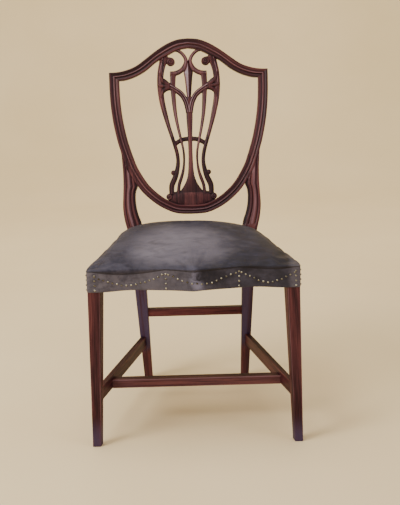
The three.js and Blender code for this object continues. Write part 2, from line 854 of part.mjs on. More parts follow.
// Glue blocks inside the corners of the seat frame

const blockTop = railTop - blockDrop;
const blockGap = 2 * glueGap;

function innerSideX(y) {
  return sideX(y) - sideRailRun - blockGap;
}

function frontBlock() {
  const nearY = railThickness - edgeLap;
  const farY = legTopSize + blockReach;
  const outline = [
    [innerSideX(nearY) - blockReach, nearY],
    [innerSideX(nearY), nearY],
    [innerSideX(farY), farY],
  ];
  const whole = solid(prism(outline, blockTop - blockHeight, blockTop));
  return cut(whole, [legSolid(glueGap), frontRailSolid(glueGap)]);
}

function rearBlock() {
  const nearY = backRailY - glueGap;
  const farY = nearY - blockReach;
  const outline = [
    [innerSideX(nearY) - blockReach, nearY],
    [innerSideX(farY), farY],
    [innerSideX(nearY), nearY],
  ];
  const whole = solid(prism(outline, blockTop - blockHeight, blockTop));
  return cut(whole, [postSolid(glueGap)]);
}

// Upholstery, from the webbing up

const webbingLow = railTop + glueGap;
const webbingHigh = webbingLow + webbingThickness + glueGap;
const clothLow = webbingHigh + webbingThickness + glueGap;
const padLow = clothLow + clothThickness + glueGap;

function longStrap(x) {
  const outline = box(
    x - webbingWidth / 2,
    x + webbingWidth / 2,
    bowIn + webbingTuck,
    backFaceY - webbingTuck,
  );
  return solid(prism(outline, webbingLow, webbingLow + webbingThickness));
}

function crossStrap(y) {
  const half = sideX(y + webbingWidth / 2) - webbingTuck;
  const outline = box(-half, half, y - webbingWidth / 2, y + webbingWidth / 2);
  return solid(prism(outline, webbingHigh, webbingHigh + webbingThickness));
}

// everything beside and behind the front face of the right post
function postNotch() {
  const outline = box(
    rearHalfWidth - rearSeatWidth / 2,
    rearHalfWidth + rearSeatWidth,
    postFaceY - glueGap,
    backFaceY + rearSeatWidth,
  );
  return solid(prism(outline, railBottom - rearSeatWidth, railTop + 2 * crown));
}

function aroundPosts(made) {
  return cut(made, [...bothSides(postSolid(glueGap)), ...bothSides(postNotch())]);
}

function baseCloth() {
  const front = bowLine(frontHalfWidth - clothInset, clothInset);
  const rear = backFaceY - clothInset;
  const outline = [...front, [sideX(rear) - clothInset, rear], [clothInset - sideX(rear), rear]];
  return aroundPosts(solid(prism(outline, clothLow, clothLow + clothThickness)));
}

// height of the stuffed crown: u from -1 to 1 across, v from 0 to 1 front to back
function crownAt(u, v) {
  const across = (1 - Math.abs(u) ** crownAcrossCurve) ** crownSideCurve;
  if (v < crownShare) {
    return crown * across * (1 - (1 - v / crownShare) ** crownAlongCurve) ** crownFrontCurve;
  }
  const back = (v - crownShare) / (1 - crownShare);
  return crown * across * (1 - (1 - rearCrownShare) * back ** crownBackCurve);
}

// closed cushion over the plan of the seat: walls as [outset, height] rows from the bottom up
function cushion(walls) {
  const [edgeOutset, edgeHeight] = walls.at(-1);
  const planPoint = (u, v, outset, rise) => {
    const bow = bowAt(u * frontHalfWidth);
    const y = lerp(bow - outset, backFaceY + outset, v);
    return [u * (sideX(y) + outset), y, rise];
  };
  const columns = stopShares.length - 1;
  const rows = cushionRows;
  const along = Array.from({ length: rows + 1 }, (_, j) => (1 - Math.cos((Math.PI * j) / rows)) / 2);
  const positions = [];
  const index = [];
  for (const v of along) {
    for (const u of stopShares) positions.push(planPoint(u, v, edgeOutset, edgeHeight + crownAt(u, v)));
  }
  const at = (i, j) => j * (columns + 1) + i;
  for (let j = 0; j < rows; j++) {
    for (let i = 0; i < columns; i++) {
      index.push(at(i, j), at(i + 1, j), at(i + 1, j + 1), at(i, j), at(i + 1, j + 1), at(i, j + 1));
    }
  }
  const rim = [
    ...stopShares.slice(0, -1).map((u, i) => [u, 0, at(i, 0)]),
    ...along.slice(0, -1).map((v, j) => [1, v, at(columns, j)]),
    ...stopShares.slice(1).map((u, i) => [u, 1, at(i + 1, rows)]).reverse(),
    ...along.slice(1).map((v, j) => [-1, v, at(0, j + 1)]).reverse(),
  ];
  let upper = rim.map(([, , id]) => id);
  for (const [outset, height] of walls.slice(0, -1).reverse()) {
    const lower = rim.map(([u, v]) => positions.push(planPoint(u, v, outset, height)) - 1);
    rim.forEach((_, k) => {
      const next = (k + 1) % rim.length;
      index.push(lower[k], lower[next], upper[next], lower[k], upper[next], upper[k]);
    });
    upper = lower;
  }
  const middle = positions.push([0, (bowIn + backFaceY) / 2, walls[0][1]]) - 1;
  upper.forEach((id, k) => index.push(middle, upper[(k + 1) % upper.length], id));
  const geometry = new THREE.BufferGeometry();
  geometry.setAttribute("position", new THREE.Float32BufferAttribute(positions.flat(), 3));
  geometry.setIndex(index);
  return solid(geometry);
}

const leatherBottom = railBottom - glueGap - leatherThickness;
const leatherEdge = railTop + seatEdgeHeight;
const wallTop = railTop - 3 * glueGap;
const rollTop = leatherEdge - leatherThickness;

function leatherCover() {
  const out = glueGap + leatherThickness;
  const skin = cushion(
    [[out, leatherBottom], [out, wallTop], [out + edgeRoll, rollTop - leatherThickness], [out, leatherEdge]],
  );
  const hollow = cushion([[glueGap, railBottom - glueGap], [glueGap, wallTop], [glueGap, rollTop]]);
  const mouth = cushion([[-leatherLip, leatherBottom - overrun], [-leatherLip, railMiddle]]);
  const shell = cut(skin, [hollow, mouth, frontRailSolid(glueGap)]);
  return cut(aroundPosts(shell), bothSides(legSolid(glueGap)));
}

function seatPad() {
  const edge = rollTop - padClearance;
  return aroundPosts(cushion([[0, padLow], [0, edge]]));
}

// Materials

const mahogany = new THREE.MeshStandardMaterial({ color: 0x5a2a22, roughness: 0.35, metalness: 0 });
const beech = new THREE.MeshStandardMaterial({ color: 0xb08a5c, roughness: 0.7, metalness: 0 });
const leather = new THREE.MeshStandardMaterial({ color: 0x5c5660, roughness: 0.5, metalness: 0 });
const jute = new THREE.MeshStandardMaterial({ color: 0xa8946a, roughness: 0.9, metalness: 0 });
const hessian = new THREE.MeshStandardMaterial({ color: 0x9c8458, roughness: 0.95, metalness: 0 });
const horsehair = new THREE.MeshStandardMaterial({ color: 0x3a322c, roughness: 1, metalness: 0 });

// Assembly

const chair = new THREE.Group();

function place(name, made, material) {
  const mesh = new THREE.Mesh(geometryOf(made), material);
  mesh.name = name;
  chair.add(mesh);
}

function placePair(name, made, material) {
  const [right, left] = bothSides(made);
  place(name + "_right", right, material);
  place(name + "_left", left, material);
}

const pegHoles = seatPegs(glueGap);

placePair(
  "front_leg",
  cut(legSolid(), [
    frontTenon(glueGap),
    sideFrontTenon(glueGap),
    sideStretcherTenons(glueGap)[0],
    pegHoles.front_rail_peg,
    pegHoles.side_rail_front_peg,
  ]),
  mahogany,
);

placePair(
  "rear_post",
  cut(postSolid(), [
    toChair(mitreTool()),
    toChair(crestDowel(glueGap)),
    toChair(lowerTenon(glueGap)),
    sideRearTenon(glueGap),
    rearTenon(glueGap),
    sideStretcherTenons(glueGap)[1],
    rearStretcherTenon(glueGap),
    pegHoles.side_rail_rear_peg,
    pegHoles.rear_rail_peg,
  ]),
  mahogany,
);

place(
  "crest_rail",
  toChair(cut(crestSolid(), [...splatTenons(glueGap), ...bothSides(crestDowel(glueGap))])),
  mahogany,
);
placePair("crest_dowel", toChair(crestDowel()), beech);

const lowerRail = cut(toChair(lowerRailSolid()), bothSides(postSolid(glueGap)));
place(
  "shield_lower_rail",
  cut(joined([lowerRail, ...bothSides(toChair(lowerTenon()))]), splatTenons(glueGap).map(toChair)),
  mahogany,
);
place("splat", toChair(splatSolid()), mahogany);

const frontRail = cut(frontRailSolid(), bothSides(legSolid(glueGap)));
place(
  "front_rail",
  cut(joined([frontRail, ...bothSides(frontTenon())]), bothSides(pegHoles.front_rail_peg)),
  beech,
);
const sideRail = cut(sideRailSolid(), [legSolid(glueGap), postSolid(glueGap)]);
placePair(
  "side_rail",
  cut(joined([sideRail, sideFrontTenon(), sideRearTenon()]), [
    pegHoles.side_rail_front_peg,
    pegHoles.side_rail_rear_peg,
  ]),
  beech,
);
const rearRail = cut(rearRailSolid(), bothSides(postSolid(glueGap)));
place(
  "rear_rail",
  cut(joined([rearRail, ...bothSides(rearTenon())]), bothSides(pegHoles.rear_rail_peg)),
  beech,
);
for (const [name, peg] of Object.entries(seatPegs())) placePair(name, peg, beech);
placePair("front_corner_block", frontBlock(), beech);
placePair("rear_corner_block", rearBlock(), beech);

const sideStretcher = cut(sideStretcherSolid(), [legSolid(glueGap), postSolid(glueGap)]);
placePair(
  "side_stretcher",
  cut(joined([sideStretcher, ...sideStretcherTenons()]), [medialTenon(glueGap)]),
  mahogany,
);
const medial = cut(medialSolid(), bothSides(sideStretcherSolid(glueGap)));
place("medial_stretcher", joined([medial, ...bothSides(medialTenon())]), mahogany);
const rearStretcher = cut(rearStretcherSolid(), bothSides(postSolid(glueGap)));
place("rear_stretcher", joined([rearStretcher, ...bothSides(rearStretcherTenon())]), mahogany);

for (let i = 0; i < 3; i++) {
  place("webbing_lengthwise_" + (i + 1), longStrap((i - 1) * webbingPitchX), jute);
  place("webbing_crosswise_" + (i + 1), crossStrap(webbingFirstY + i * webbingPitchY), jute);
}
place("base_cloth", baseCloth(), hessian);
place("seat_pad", seatPad(), horsehair);
place("leather_cover", leatherCover(), leather);

// The origin sits on the floor under the middle of the chair
const bounds = new THREE.Box3().setFromObject(chair);
chair.position.y = -(bounds.min.y + bounds.max.y) / 2;

export default chair;
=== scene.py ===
import math

import bmesh
import bpy
import numpy as np
from mathutils import Matrix, Vector
from mathutils.geometry import delaunay_2d_cdt


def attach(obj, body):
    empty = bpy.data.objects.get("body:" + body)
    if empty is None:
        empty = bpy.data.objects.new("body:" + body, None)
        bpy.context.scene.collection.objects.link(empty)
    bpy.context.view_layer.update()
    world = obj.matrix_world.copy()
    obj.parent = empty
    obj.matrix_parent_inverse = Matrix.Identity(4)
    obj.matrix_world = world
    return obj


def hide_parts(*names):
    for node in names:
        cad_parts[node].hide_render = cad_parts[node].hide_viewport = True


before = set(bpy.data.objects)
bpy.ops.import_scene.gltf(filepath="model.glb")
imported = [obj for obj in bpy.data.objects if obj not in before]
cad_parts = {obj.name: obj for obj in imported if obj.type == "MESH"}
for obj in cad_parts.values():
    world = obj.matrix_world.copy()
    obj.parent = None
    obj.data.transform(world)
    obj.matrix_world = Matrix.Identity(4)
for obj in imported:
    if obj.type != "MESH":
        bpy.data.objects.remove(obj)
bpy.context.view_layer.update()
print("frame loaded:", len(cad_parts), "solids")

# Shapes are worked out in millimetres, y back from the front faces of the front legs, as the solids were.
# makePiece() turns them into metres round the middle of the chair.

centreY = 258.39  # that front face to the middle of the chair


def smoothStep(low, high, value):
    t = np.clip((np.asarray(value, float) - low) / (high - low), 0, 1)
    return t * t * (3 - 2 * t)


def mix(a, b, t):
    return a + (b - a) * t


def curve(points, steps):  # smooth line through every point, evenly stepped
    points = np.asarray(points, float)
    last = len(points) - 1
    place = np.linspace(0, last, steps + 1)
    i = np.minimum(place.astype(int), last - 1)
    w = (place - i)[:, None]
    here, there = points[i], points[i + 1]
    leave = (there - points[np.maximum(i - 1, 0)]) / 2
    arrive = (points[np.minimum(i + 2, last)] - here) / 2
    cubic = (2 * here - 2 * there + leave + arrive) * w**3
    return cubic + (-3 * here + 3 * there - 2 * leave - arrive) * w**2 + leave * w + here


def offsetLine(line, widths):  # moves each point to its left
    run = np.vstack([line[1:], line[-1:]]) - np.vstack([line[:1], line[:-1]])
    run /= np.hypot(run[:, 0], run[:, 1])[:, None]
    return line + np.reshape(widths, (-1, 1)) * np.column_stack([-run[:, 1], run[:, 0]])


def stretched(line, reach=40):  # the same line run on straight past both ends
    first = line[0] + (line[0] - line[1]) / np.linalg.norm(line[0] - line[1]) * reach
    last = line[-1] + (line[-1] - line[-2]) / np.linalg.norm(line[-1] - line[-2]) * reach
    return np.vstack([first, line, last])


def nearestOn(line, points):  # distance, place along the line in segments, signed distance (+ to its left)
    best = np.full(len(points), 1e9)
    along = np.zeros(len(points))
    signed = np.zeros(len(points))
    for k, (a, b) in enumerate(zip(line[:-1], line[1:])):
        run = b - a
        rel = points - a
        t = np.clip(rel @ run / (run @ run), 0, 1)
        gap = rel - t[:, None] * run
        distance = np.hypot(gap[:, 0], gap[:, 1])
        side = np.where(run[0] * rel[:, 1] - run[1] * rel[:, 0] >= 0, 1.0, -1.0)
        closer = distance < best
        best[closer] = distance[closer]
        along[closer] = (k + t)[closer]
        signed[closer] = (distance * side)[closer]
    return best, along, signed


def runningLength(points):  # arc length at each point of a line of points
    steps = np.linalg.norm(np.diff(points, axis=0), axis=1)
    return np.concatenate([[0], np.cumsum(steps)])


def roundedEdge(distance, radius):  # how far a face drops near an edge rounded to that radius
    inside = np.clip(1 - np.asarray(distance, float) / radius, 0, 1)
    return radius * (1 - np.sqrt(1 - inside**2))


def skin(rows, around=True, capped=True):  # faces over a grid of point rows, and its two ends
    count, width = rows
    index = np.arange(count * width).reshape(count, width)
    here = index if around else index[:, :-1]
    there = np.roll(index, -1, axis=1) if around else index[:, 1:]
    quads = np.stack([here[:-1], there[:-1], there[1:], here[1:]], -1).reshape(-1, 4).tolist()
    if capped:
        quads += [index[0][::-1].tolist(), index[-1].tolist()]
    return quads


def rimOf(deep, wide):  # the outermost points of such a grid, anticlockwise from its first
    index = np.arange(deep * wide).reshape(deep, wide)
    return [*index[0], *index[1:, -1], *index[-1, -2::-1], *index[-2:0:-1, 0]]


def closedSheet(top, under, deep, wide):  # points and faces of two such grids, joined round their rims
    size = deep * wide
    faces = skin((deep, wide), False, False)
    faces += [[k + size for k in face][::-1] for face in faces]
    rim = rimOf(deep, wide)
    for a, b in zip(rim, rim[1:] + rim[:1]):
        faces.append([int(b), int(a), int(a + size), int(b + size)])
    return np.vstack([top, under]), faces


def mirrored(line):  # a flat line on the other side of the centre, run the other way
    return line[::-1] * [-1, 1]


def toMetres(points):
    return (np.asarray(points, float) - [0, centreY, 0]) / 1000


def toMillimetres(points):
    return points * 1000 + [0, centreY, 0]


def readVectors(vertices, field):
    found = np.empty(len(vertices) * 3)
    vertices.foreach_get(field, found)
    return found.reshape(-1, 3)


def addAttribute(mesh, name, kind, values):
    attribute = mesh.attributes.new(name, kind, "POINT")
    field = "vector" if kind == "FLOAT_VECTOR" else "value"
    attribute.data.foreach_set(field, np.asarray(values, np.float32).ravel())


def addObject(name, data):
    added = bpy.data.objects.new(name, data)
    bpy.context.scene.collection.objects.link(added)
    return added


# grain is (across, through, along) the wood in millimetres; hollow is 0 on high parts and 1 in grooves and
# darkens the colour there, some pieces add painted shade to it, and below 0 it gives painted highlights
def makePiece(name, points, faces, finish, grain=None, hollow=None, sharpAngle=42.0):
    points = toMetres(points).reshape(-1, 3)
    mesh = bpy.data.meshes.new(name)
    mesh.from_pydata(points.tolist(), [], faces)
    mesh.validate()
    work = bmesh.new()
    work.from_mesh(mesh)
    closed = all(edge.is_manifold for edge in work.edges)
    if closed and work.calc_volume(signed=True) < 0:
        mesh.flip_normals()
    if not closed:
        print("  open edges in", name, sum(not edge.is_manifold for edge in work.edges))
    work.free()
    mesh.shade_smooth()
    mesh.set_sharp_from_angle(angle=math.radians(sharpAngle))
    if grain is not None:
        addAttribute(mesh, "grain", "FLOAT_VECTOR", grain)
    addAttribute(mesh, "hollow", "FLOAT", np.zeros(len(points)) if hollow is None else hollow)
    mesh.materials.append(finish)
    return addObject(name, mesh)


def settle(piece, slot, *nodes):  # rides on the chair and stands for its solids
    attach(piece, "root")
    if nodes:
        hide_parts(*nodes)
    return piece


# a wooden piece skinned over rows of (ring of points, grain, hollow)
def makeWood(name, rows, finish, node, leftHand=False):
    rings, grain, hollow = (np.array(part) for part in zip(*rows))
    if leftHand:
        rings = rings * [-1, 1, 1]
    piece = makePiece(name, rings, skin(rings.shape[:2]), finish, grain, hollow)
    return settle(piece, "mahogany", node)


# shader maths


class Value:
    def __init__(self, tree, socket):
        self.tree = tree
        self.socket = socket

    def math(self, operation, first, second=None):
        node = self.tree.nodes.new("ShaderNodeMath")
        node.operation = operation
        for slot, item in enumerate((first, second)):
            if isinstance(item, Value):
                self.tree.links.new(item.socket, node.inputs[slot])
            elif item is not None:
                node.inputs[slot].default_value = item
        return Value(self.tree, node.outputs[0])

    def __add__(self, other):
        return self.math("ADD", self, other)

    __radd__ = __add__

    def __sub__(self, other):
        return self.math("SUBTRACT", self, other)

    def __rsub__(self, other):
        return self.math("SUBTRACT", other, self)

    def __mul__(self, other):
        return self.math("MULTIPLY", self, other)

    __rmul__ = __mul__

    def absolute(self):
        return self.math("ABSOLUTE", self)

    def sine(self):
        return self.math("SINE", self)

    def clamped(self):
        return self.math("MINIMUM", self.math("MAXIMUM", self, 0.0), 1.0)


class Finish:
    def __init__(self, name):
        self.material = bpy.data.materials.new(name)
        self.material.use_nodes = True
        self.tree = self.material.node_tree
        self.tree.nodes.clear()

    def node(self, kind, settings=None, inputs=None, output=0):
        node = self.tree.nodes.new(kind)
        for key, value in (settings or {}).items():
            setattr(node, key, value)
        for key, value in (inputs or {}).items():
            if isinstance(value, Value):
                self.tree.links.new(value.socket, node.inputs[key])
            else:
                node.inputs[key].default_value = value
        return Value(self.tree, node.outputs[output])

    def noise(self, vector, scale, detail=3.0, roughness=0.55, distortion=0.0):
        inputs = {"Vector": vector, "Scale": scale, "Detail": detail}
        inputs |= {"Roughness": roughness, "Distortion": distortion}
        return self.node("ShaderNodeTexNoise", None, inputs)

    def scaled(self, vector, scale, turn=(0, 0, 0)):
        inputs = {"Vector": vector, "Scale": scale, "Rotation": turn}
        return self.node("ShaderNodeMapping", {"vector_type": "POINT"}, inputs)

    def split(self, vector):  # its x, y and z
        first = self.node("ShaderNodeSeparateXYZ", None, {0: vector})
        return [Value(self.tree, socket) for socket in first.socket.node.outputs]

    def tint(self, colour, mask, over):
        inputs = {"Factor": mask, 6: colour, 7: (*over, 1)}
        return self.node("ShaderNodeMix", {"data_type": "RGBA"}, inputs, 2)

    def ramp(self, factor, *stops):  # stops are (place, colour)
        made = self.node("ShaderNodeValToRGB", None, {"Fac": factor})
        elements = made.socket.node.color_ramp.elements
        while len(elements) < len(stops):
            elements.new(0.5)
        for element, (place, colour) in zip(elements, stops):
            element.position = place
            element.color = (*colour, 1)
        return made

    def steps(self, value, low, high, to=(0.0, 1.0)):
        inputs = {"Value": value, "From Min": low, "From Max": high, "To Min": to[0], "To Max": to[1]}
        return self.node("ShaderNodeMapRange", {"interpolation_type": "SMOOTHSTEP"}, inputs)

    def attribute(self, name, output="Fac"):
        return self.node("ShaderNodeAttribute", {"attribute_name": name}, None, output)

    def objectPlace(self):
        return self.node("ShaderNodeTexCoord", None, None, "Object")

    def bump(self, height, strength, distance):
        inputs = {"Height": height, "Strength": strength, "Distance": distance}
        return self.node("ShaderNodeBump", None, inputs)

    def surface(self, **sockets):
        named = {key.replace("_", " "): value for key, value in sockets.items()}
        shader = self.node("ShaderNodeBsdfPrincipled", None, named)
        out = self.tree.nodes.new("ShaderNodeOutputMaterial")
        self.tree.links.new(shader.socket, out.inputs["Surface"])
        return self.material


# finishes

mahoganyLook = {
    "dark": (0.013, 0.004, 0.006),
    "middle": (0.060, 0.016, 0.020),
    "light": (0.145, 0.044, 0.042),
    # darker in the grooves: dirt, and painted shade
    "groove": (0.007, 0.002, 0.004),
    "wornHighlight": (0.240, 0.125, 0.140),  # worn high parts, with painted highlights along ridges and arrises
    "paintedGleam": (0.360, 0.290, 0.360),  # painted highlight on the sharpest ridges
    "paintedReflection": (0.062, 0.043, 0.092),  # painted reflection: a bluish sheen on the rear legs and near the floor, also read as a haze of old polish
    "reflectionTop": (0.400, 0.370),  # heights between which it comes in on a rear leg
    "reflectionFoot": (0.110, 0.145),  # and between which it goes again
    "rearLegs": (0.150, 0.158),  # how far back those stand
    "floorReflection": (0.105, 0.040),
    "coated": (0.42, 0.50),  # heights between which the varnish of the back begins
    "figureSize": 0.045,  # broad streaks, per millimetre across the grain
    "poreSize": 0.55,
}


# painted reflection: bluish on the middle of the rear legs, and on the front pieces near the floor
def paintedReflectionMask(f, place, broad, patches, rearReflection):
    look = mahoganyLook
    _, behind, height = f.split(place)
    ragged = height + patches * 0.06
    band = f.steps(ragged, *look["reflectionTop"]) * f.steps(ragged, *look["reflectionFoot"])
    rearLegs = f.steps(behind, *look["rearLegs"]) * band * f.steps(broad, 0.42, 0.56, (0.35, 0.95)) * rearReflection
    nearFloor = f.steps(height + patches * 0.05, *look["floorReflection"]) * f.steps(behind, 0.0, -0.1) * 0.7
    return rearLegs + nearFloor * f.steps(patches, 0.25, 0.50)


def makeMahogany(name, specular, rearReflection):
    look = mahoganyLook
    f = Finish(name)
    grain = f.attribute("grain", "Vector")
    hollow = f.attribute("hollow")
    place = f.objectPlace()
    height = f.split(place)[2]
    broad = f.noise(f.scaled(grain, (1, 1, 0.05)), look["figureSize"], 3.0, 0.6, 0.6)
    streaks = f.noise(f.scaled(grain, (1, 1, 0.018)), look["poreSize"], 4.0, 0.65, 0.2)
    pores = f.noise(f.scaled(grain, (1, 1, 0.05)), 4 * look["poreSize"], 2.0)
    patches = f.noise(place, 9.0, 3.0)
    figure = f.steps(broad * 0.55 + streaks * 0.45, 0.36, 0.66)
    worn = f.steps(hollow, 0.10, -0.12) * f.steps(streaks + patches * 0.4, 0.42, 0.75) * 0.85
    poreMask = f.steps(pores, 0.58, 0.72) * 0.5
    colour = f.ramp(figure, (0.0, look["dark"]), (0.45, look["middle"]), (1.0, look["light"]))
    # over the figure: a painted reflection, worn parts with painted highlights, painted highlights on the
    # sharpest ridges, dirt and painted shade in the grooves, and pores
    for mask, over in (
        (paintedReflectionMask(f, place, broad, patches, rearReflection), "paintedReflection"),
        (worn, "wornHighlight"),
        (f.steps(hollow, -0.15, -0.50) * 0.6, "paintedGleam"),
        (f.steps(hollow, 0.25, 1.0) * 0.86, "groove"),
        (poreMask, "dark"),
    ):
        colour = f.tint(colour, mask, look[over])
    return f.surface(
        Base_Color=colour,
        Roughness=0.34 + streaks * 0.12 + hollow * 0.25,
        Normal=f.bump(streaks * 0.6 - poreMask * 0.5, 0.18, 0.0006),
        Specular_IOR_Level=specular,
        Coat_Weight=f.steps(height, *look["coated"]) * 0.07,
        Coat_Roughness=0.16,
    )


plainWoodLook = {
    "dark": (0.255, 0.150, 0.072),
    "light": (0.520, 0.360, 0.205),
    "streaks": 60,  # across the grain, per metre
    "fibres": 420,
    "rays": 300,
}


def makePlainWood(name, turn):  # sawn pale wood; turn lays the grain along the piece
    look = plainWoodLook
    f = Finish(name)
    place = f.scaled(f.objectPlace(), (1, 1, 1), turn)
    broad = f.noise(f.scaled(place, (1, 1, 0.06)), look["streaks"], 3.0, 0.6, 0.4)
    fine = f.noise(f.scaled(place, (1, 1, 0.02)), look["fibres"], 3.0)
    colour = f.ramp(f.steps(broad * 0.6 + fine * 0.4, 0.3, 0.7), (0.0, look["dark"]), (1.0, look["light"]))
    rayInputs = {"Vector": f.scaled(place, (1, 1, 0.12)), "Scale": look["rays"]}
    rays = f.node("ShaderNodeTexVoronoi", {"feature": "F1"}, rayInputs)
    colour = f.tint(colour, f.steps(rays, 0.22, 0.05) * 0.35, look["dark"])
    return f.surface(Base_Color=colour, Roughness=0.62 + fine * 0.15, Normal=f.bump(fine, 0.35, 0.0006))


leatherLook = {
    "dark": (0.010, 0.008, 0.014),
    "middle": (0.022, 0.020, 0.036),
    "light": (0.055, 0.050, 0.073),
    # scuffed paler; the same colour gives the painted light on the border's left
    "worn": (0.116, 0.104, 0.128),
    "satHighlight": (0.168, 0.150, 0.184),  # paler where it is sat on, and a painted highlight
    "satMiddle": (-0.042, -0.138),
    "satShrink": (7.6, 8.6),  # one over its half width and its half depth
    # painted shade along the crease and in the folds
    "crease": (0.006, 0.005, 0.006),
    "paintedShadeRight": (0.005, 0.003, 0.004),  # painted shade, darker and browner towards the right
    # painted shade right of the front's point
    "stain": (0.004, 0.003, 0.008),
    "shadeMiddle": (0.045, 0.422),  # across and up the front
    "shadeShrink": (17.0, 34.0),
    "rubbedHighlight": (0.300, 0.290, 0.420),  # painted highlight along the front's point, also read as rubbed polish
    "pointFoot": (0.004, 0.425),
    "pointLean": 0.30,
    "front": (-0.235, -0.255),
    "grainSize": 620,  # cells of the leather's grain, per metre
}


def topMasks(f, place, cloud, mottle, brushed):  # masks of its top, and their colours' names: wear and a painted highlight where it is sat on, painted light on the border's left, painted shade towards the right, a paler right front corner
    look = leatherLook
    across, along, height = f.split(place)
    border = f.attribute("border")
    offX = (across - look["satMiddle"][0]) * look["satShrink"][0]
    offY = (along - look["satMiddle"][1]) * look["satShrink"][1]
    satHighlight = f.steps(offX * offX + offY * offY + (cloud + brushed) * 2.6 - 2.6, 1.55, 0.0)
    # painted light: the border paler towards the left
    toLeft = (0.26 - across * 2.0).clamped() + 0.14
    rough = f.steps(brushed * 0.5 + mottle * 0.5, 0.36, 0.6, (0.4, 1.2))
    # painted shade: darker towards the right
    toRight = f.steps(across + cloud * 0.3, 0.29, 0.40)
    corner = f.steps(across + mottle * 0.03, 0.238, 0.256) * f.steps(height, 0.462, 0.440)
    return [
        (satHighlight * f.steps(brushed, 0.30, 0.62, (0.42, 0.90)), "satHighlight"),
        (border * toLeft * rough, "worn"),
        (toRight * (1 - border * 0.7) * 0.95, "paintedShadeRight"),
        (corner * 0.6, "worn"),
    ]


# painted shade right of the front's point, and a painted highlight along it
def frontMasks(f, place, mottle, brushed):
    look = leatherLook
    across, along, height = f.split(place)
    front = f.steps(along, *look["front"])
    spread = (across - look["shadeMiddle"][0]) * look["shadeShrink"][0]
    rise = (height - look["shadeMiddle"][1]) * look["shadeShrink"][1]
    paintedShade = f.steps(spread * spread + rise * rise + mottle, 1.5, 0.4) * front
    lean = across + (height - look["pointFoot"][1]) * look["pointLean"] - look["pointFoot"][0]
    point = f.steps(lean.absolute() + mottle * 0.03, 0.034, 0.014) * front * f.steps(height, 0.458, 0.430)
    return [(paintedShade * 0.8, "stain"), (point * f.steps(brushed, 0.38, 0.66) * 0.55, "rubbedHighlight")]


def makeLeather():
    look = leatherLook
    f = Finish("leather")
    place = f.objectPlace()
    cloud = f.noise(place, 8.0, 4.0, 0.6, 0.5)
    mottle = f.noise(place, 42.0, 4.0, 0.65)
    brushed = f.noise(f.scaled(place, (0.7, 1.9, 1.9), (0, 0, 0.2)), 24.0, 5.0, 0.68, 0.6)
    scuffs = f.noise(f.scaled(place, (1, 1, 3)), 90.0, 3.0, 0.7)
    worn = f.steps(scuffs, 0.60, 0.74) * f.steps(cloud, 0.42, 0.62) * 0.34
    tone = f.steps(cloud * 0.42 + mottle * 0.24 + brushed * 0.34, 0.36, 0.64)
    colour = f.ramp(tone, (0.0, look["dark"]), (0.5, look["middle"]), (1.0, look["light"]))
    masks = topMasks(f, place, cloud, mottle, brushed) + frontMasks(f, place, mottle, brushed)
    # scuffs, and the painted shade of the crease and folds
    masks += [(worn, "worn"), (f.steps(f.attribute("hollow"), 0.1, 1.0) * 0.5, "crease")]
    for mask, over in masks:
        colour = f.tint(colour, mask, look[over])
    cellInputs = {"Vector": place, "Scale": look["grainSize"], "Randomness": 0.9}
    cells = f.node("ShaderNodeTexVoronoi", {"feature": "DISTANCE_TO_EDGE"}, cellInputs)
    pebbles = f.steps(cells, 0.0, 0.25)
    return f.surface(
        Base_Color=colour,
        Roughness=0.50 + mottle * 0.14 - worn * 0.2,
        Normal=f.bump(pebbles * 0.5 + mottle * 0.7, 0.32, 0.0008),
        Specular_IOR_Level=0.24,
        Sheen_Weight=0.02,
        Sheen_Roughness=0.5,
    )


weaveLook = {
    "jute": {"dark": (0.150, 0.105, 0.050), "light": (0.430, 0.335, 0.190), "threads": 520.0},
    "hessian": {"dark": (0.130, 0.090, 0.042), "light": (0.390, 0.290, 0.150), "threads": 700.0},
    "calico": {"dark": (0.330, 0.290, 0.220), "light": (0.600, 0.540, 0.430), "threads": 1500.0},
}


def makeWeave(name):  # over-and-under threads read from the piece's own flat coordinates, in metres
    look = weaveLook[name]
    f = Finish(name)
    across, along, _ = f.split(f.attribute("flat", "Vector"))
    warp = (across * look["threads"] * math.pi).sine()
    weft = (along * look["threads"] * math.pi).sine()
    over = f.steps(warp * weft, -0.25, 0.25)
    height = over * warp.absolute() + (1.0 - over) * weft.absolute()
    fuzz = f.noise(f.objectPlace(), 900.0, 3.0, 0.7)
    tone = f.steps(height * 0.7 + fuzz * 0.5, 0.15, 0.95)
    stain = f.noise(f.objectPlace(), 22.0, 3.0)
    colour = f.ramp(tone * 0.8 + stain * 0.2, (0.0, look["dark"]), (1.0, look["light"]))
    normal = f.bump(height, 0.6, 0.0008)
    return f.surface(Base_Color=colour, Roughness=0.86 + fuzz * 0.1, Normal=normal, Sheen_Weight=0.1)


brassLook = {
    "tarnished": (0.075, 0.062, 0.040),
    "bright": (0.560, 0.530, 0.420),
}


def makeBrass():
    look = brassLook
    f = Finish("brass")
    tarnish = f.noise(f.objectPlace(), 75.0, 3.0, 0.6)
    colour = f.ramp(f.steps(tarnish, 0.34, 0.68), (0.0, look["tarnished"]), (1.0, look["bright"]))
    return f.surface(Base_Color=colour, Roughness=0.30 + tarnish * 0.2, Metallic=1.0)


paperLook = {
    "dark": (0.870, 0.685, 0.400),
    "light": (0.925, 0.745, 0.455),
}


def makePaper():  # floor and backdrop, a plain pale sheet
    look = paperLook
    f = Finish("paper")
    cloud = f.noise(f.objectPlace(), 1.1, 3.0)
    colour = f.ramp(cloud, (0.3, look["dark"]), (0.7, look["light"]))
    return f.surface(Base_Color=colour, Roughness=0.9)


# the last number is how much painted reflection the rear legs get
mahogany = makeMahogany("mahogany", 0.20, 1.0)
dullMahogany = makeMahogany("dullMahogany", 0.12, 0.0)  # front legs and stretchers, seldom polished
leather = makeLeather()
jute = makeWeave("jute")
hessian = makeWeave("hessian")
calico = makeWeave("calico")
brass = makeBrass()
print("finishes made")


